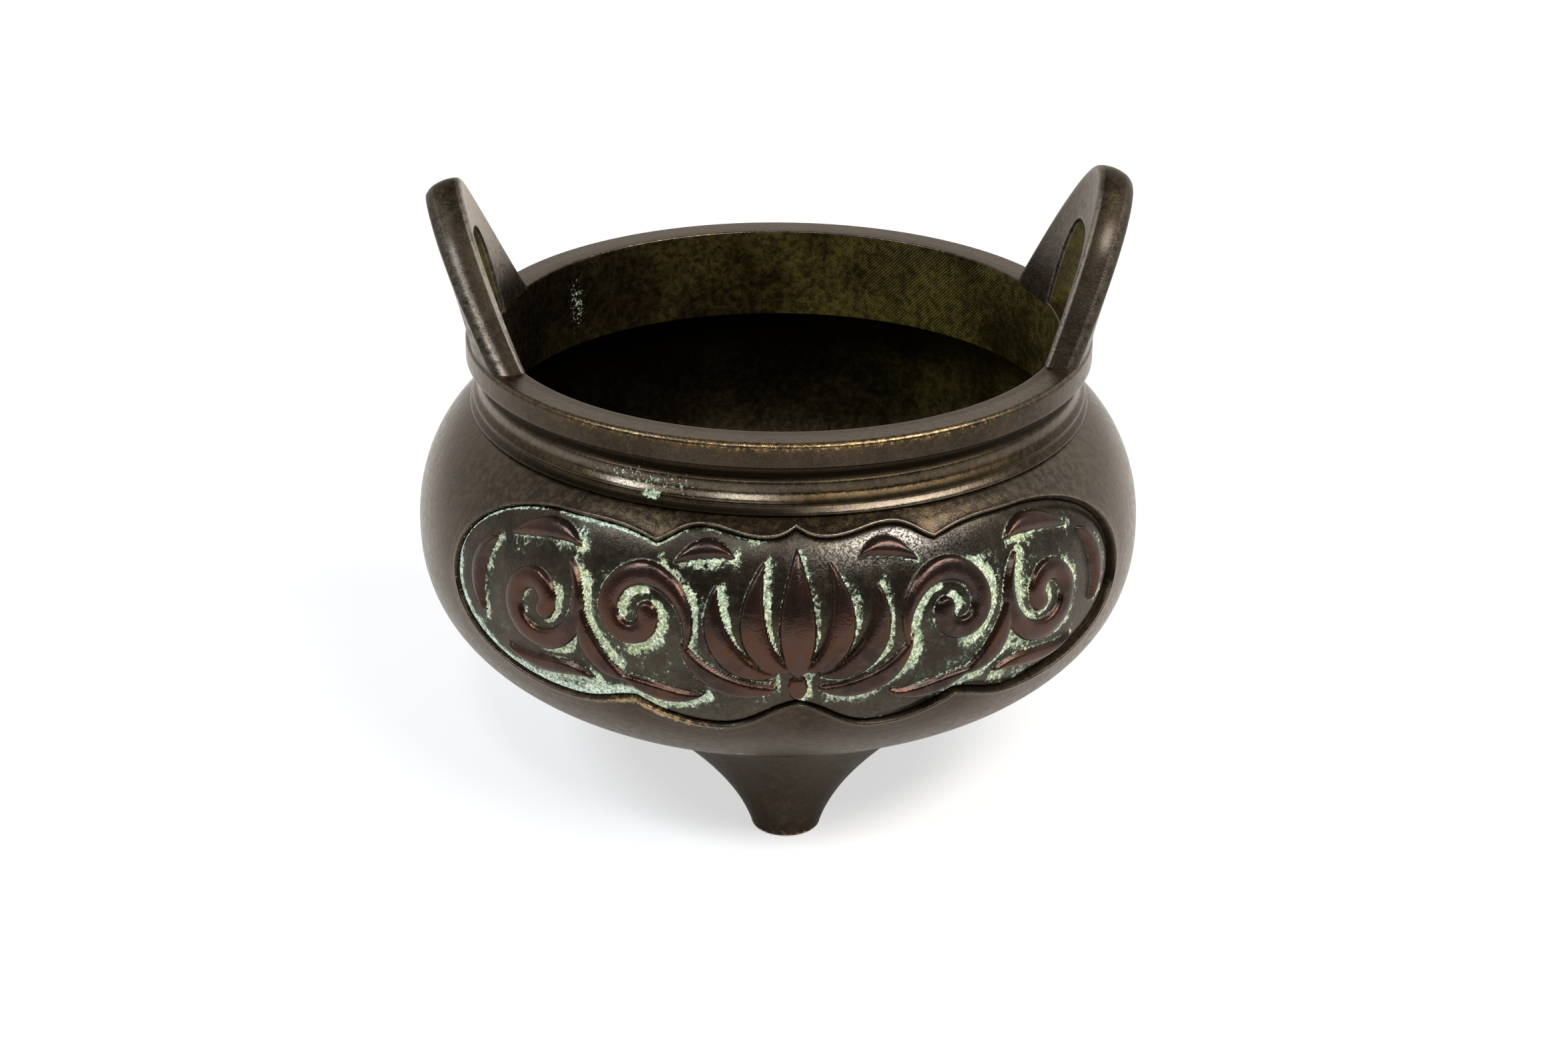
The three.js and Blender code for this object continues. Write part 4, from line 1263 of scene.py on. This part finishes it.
footPlaces = (("Front", "front", 0), ("RearRight", "rear_right", 120), ("RearLeft", "rear_left", 240))
for label, place, angle in footPlaces:
    makePiece("foot" + label, [footGrid(angle)], "foot_" + place, footBronze)
    makePiece("rivet" + label, [rivetGrid(angle)], "foot_rivet_" + place, fixingBronze)
for node in ("ear_pin_right_a", "ear_pin_right_b", "ear_pin_left_a", "ear_pin_left_b"):
    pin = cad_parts[node]
    pin.data.materials.clear()
    pin.data.materials.append(fixingBronze)
print("feet and fixings in place")

# The floor, the lamps, the room and the camera

studio = {
    "floorColour": (0.55, 0.55, 0.555),
    "floorGlow": 0.62,
    "floorHalf": 3.0,  # metres
    "roomBack": 0.75,
    "roomFront": 0.04,
    "roomTop": 0.25,  # share of the glow that is left overhead
    "target": 0.06,  # height in metres that the lamps point at
    "lampDistance": 1.1,
    # azimuth from the front to the right and elevation in degrees, size in metres, watts
    "lamps": [
        {"azimuth": 47, "elevation": 47, "size": (1.0, 0.24), "power": 11.0, "colour": (1, 0.97, 0.93)},
        {"azimuth": -18, "elevation": 50, "size": (0.14, 0.16), "power": 2.2, "colour": (1, 1, 1)},
        {"azimuth": -66, "elevation": 45, "size": (0.22, 0.26), "power": 4.6, "colour": (0.86, 0.93, 1)},
    ],
}


# A flat lamp on a sphere round the burner, turned to face its middle.
def addLamp(number, lamp):
    data = bpy.data.lights.new("softbox%d" % number, "AREA")
    data.shape = "RECTANGLE"
    data.size, data.size_y = lamp["size"]
    data.energy = lamp["power"]
    data.color = lamp["colour"]
    item = placed(data.name, data)
    azimuth, elevation = math.radians(lamp["azimuth"]), math.radians(lamp["elevation"])
    flat = studio["lampDistance"] * math.cos(elevation)
    height = studio["target"] + studio["lampDistance"] * math.sin(elevation)
    item.location = (flat * math.sin(azimuth), -flat * math.cos(azimuth), height)
    item.rotation_euler = (math.pi / 2 - elevation, 0, azimuth)


# A pale square floor that glows a little, so that it comes out nearly white.
def addFloor():
    mesh = bpy.data.meshes.new("floor")
    half = studio["floorHalf"]
    corners = [(-half, -half, 0), (half, -half, 0), (half, half, 0), (-half, half, 0)]
    mesh.from_pydata(corners, [], [(0, 1, 2, 3)])
    values = {
        "Base Color": (*studio["floorColour"], 1),
        "Roughness": 0.9,
        "Specular IOR Level": 0.1,
        "Emission Color": (1, 1, 1, 1),
        "Emission Strength": studio["floorGlow"],
    }
    mesh.materials.append(newMaterial("paleFloor", values)[0])
    placed("floor", mesh)


# The room is bright behind the burner, dim in front of it and overhead.
def addWorld():
    world = bpy.data.worlds.new("paleRoom")
    world.use_nodes = True
    tree = world.node_tree
    back = tree.nodes["Background"]
    back.inputs["Color"].default_value = (1, 1, 1, 1)
    parts = newNode(tree, "ShaderNodeSeparateXYZ")
    feed(tree, parts.inputs[0], newNode(tree, "ShaderNodeTexCoord").outputs["Generated"])
    glow = remap(tree, parts.outputs["Y"], -0.75, 0.35, studio["roomFront"], studio["roomBack"])
    overhead = remap(tree, parts.outputs["Z"], 0.45, 0.85, 1.0, studio["roomTop"])
    feed(tree, back.inputs["Strength"], times(tree, glow, overhead))
    bpy.context.scene.world = world


# Fitted to the photograph's rim, ears and foot; the frame is 2355 by 1568.
view = {
    "place": (-0.03874, -0.71531, 0.361833),  # metres
    "turn": (66.394, -0.35, -3.04),  # degrees
    "lens": 91.72,
    "sensor": 36.0,
}


# The camera of the photograph.
def addCamera():
    data = bpy.data.cameras.new("camera")
    data.sensor_width = view["sensor"]
    data.lens = view["lens"]
    camera = placed("camera", data)
    camera.location = view["place"]
    camera.rotation_euler = [math.radians(a) for a in view["turn"]]
    bpy.context.scene.camera = camera


addFloor()
addWorld()
for number, lamp in enumerate(studio["lamps"]):
    addLamp(number, lamp)
addCamera()
bpy.context.scene.view_settings.view_transform = "Standard"
print("studio lit")
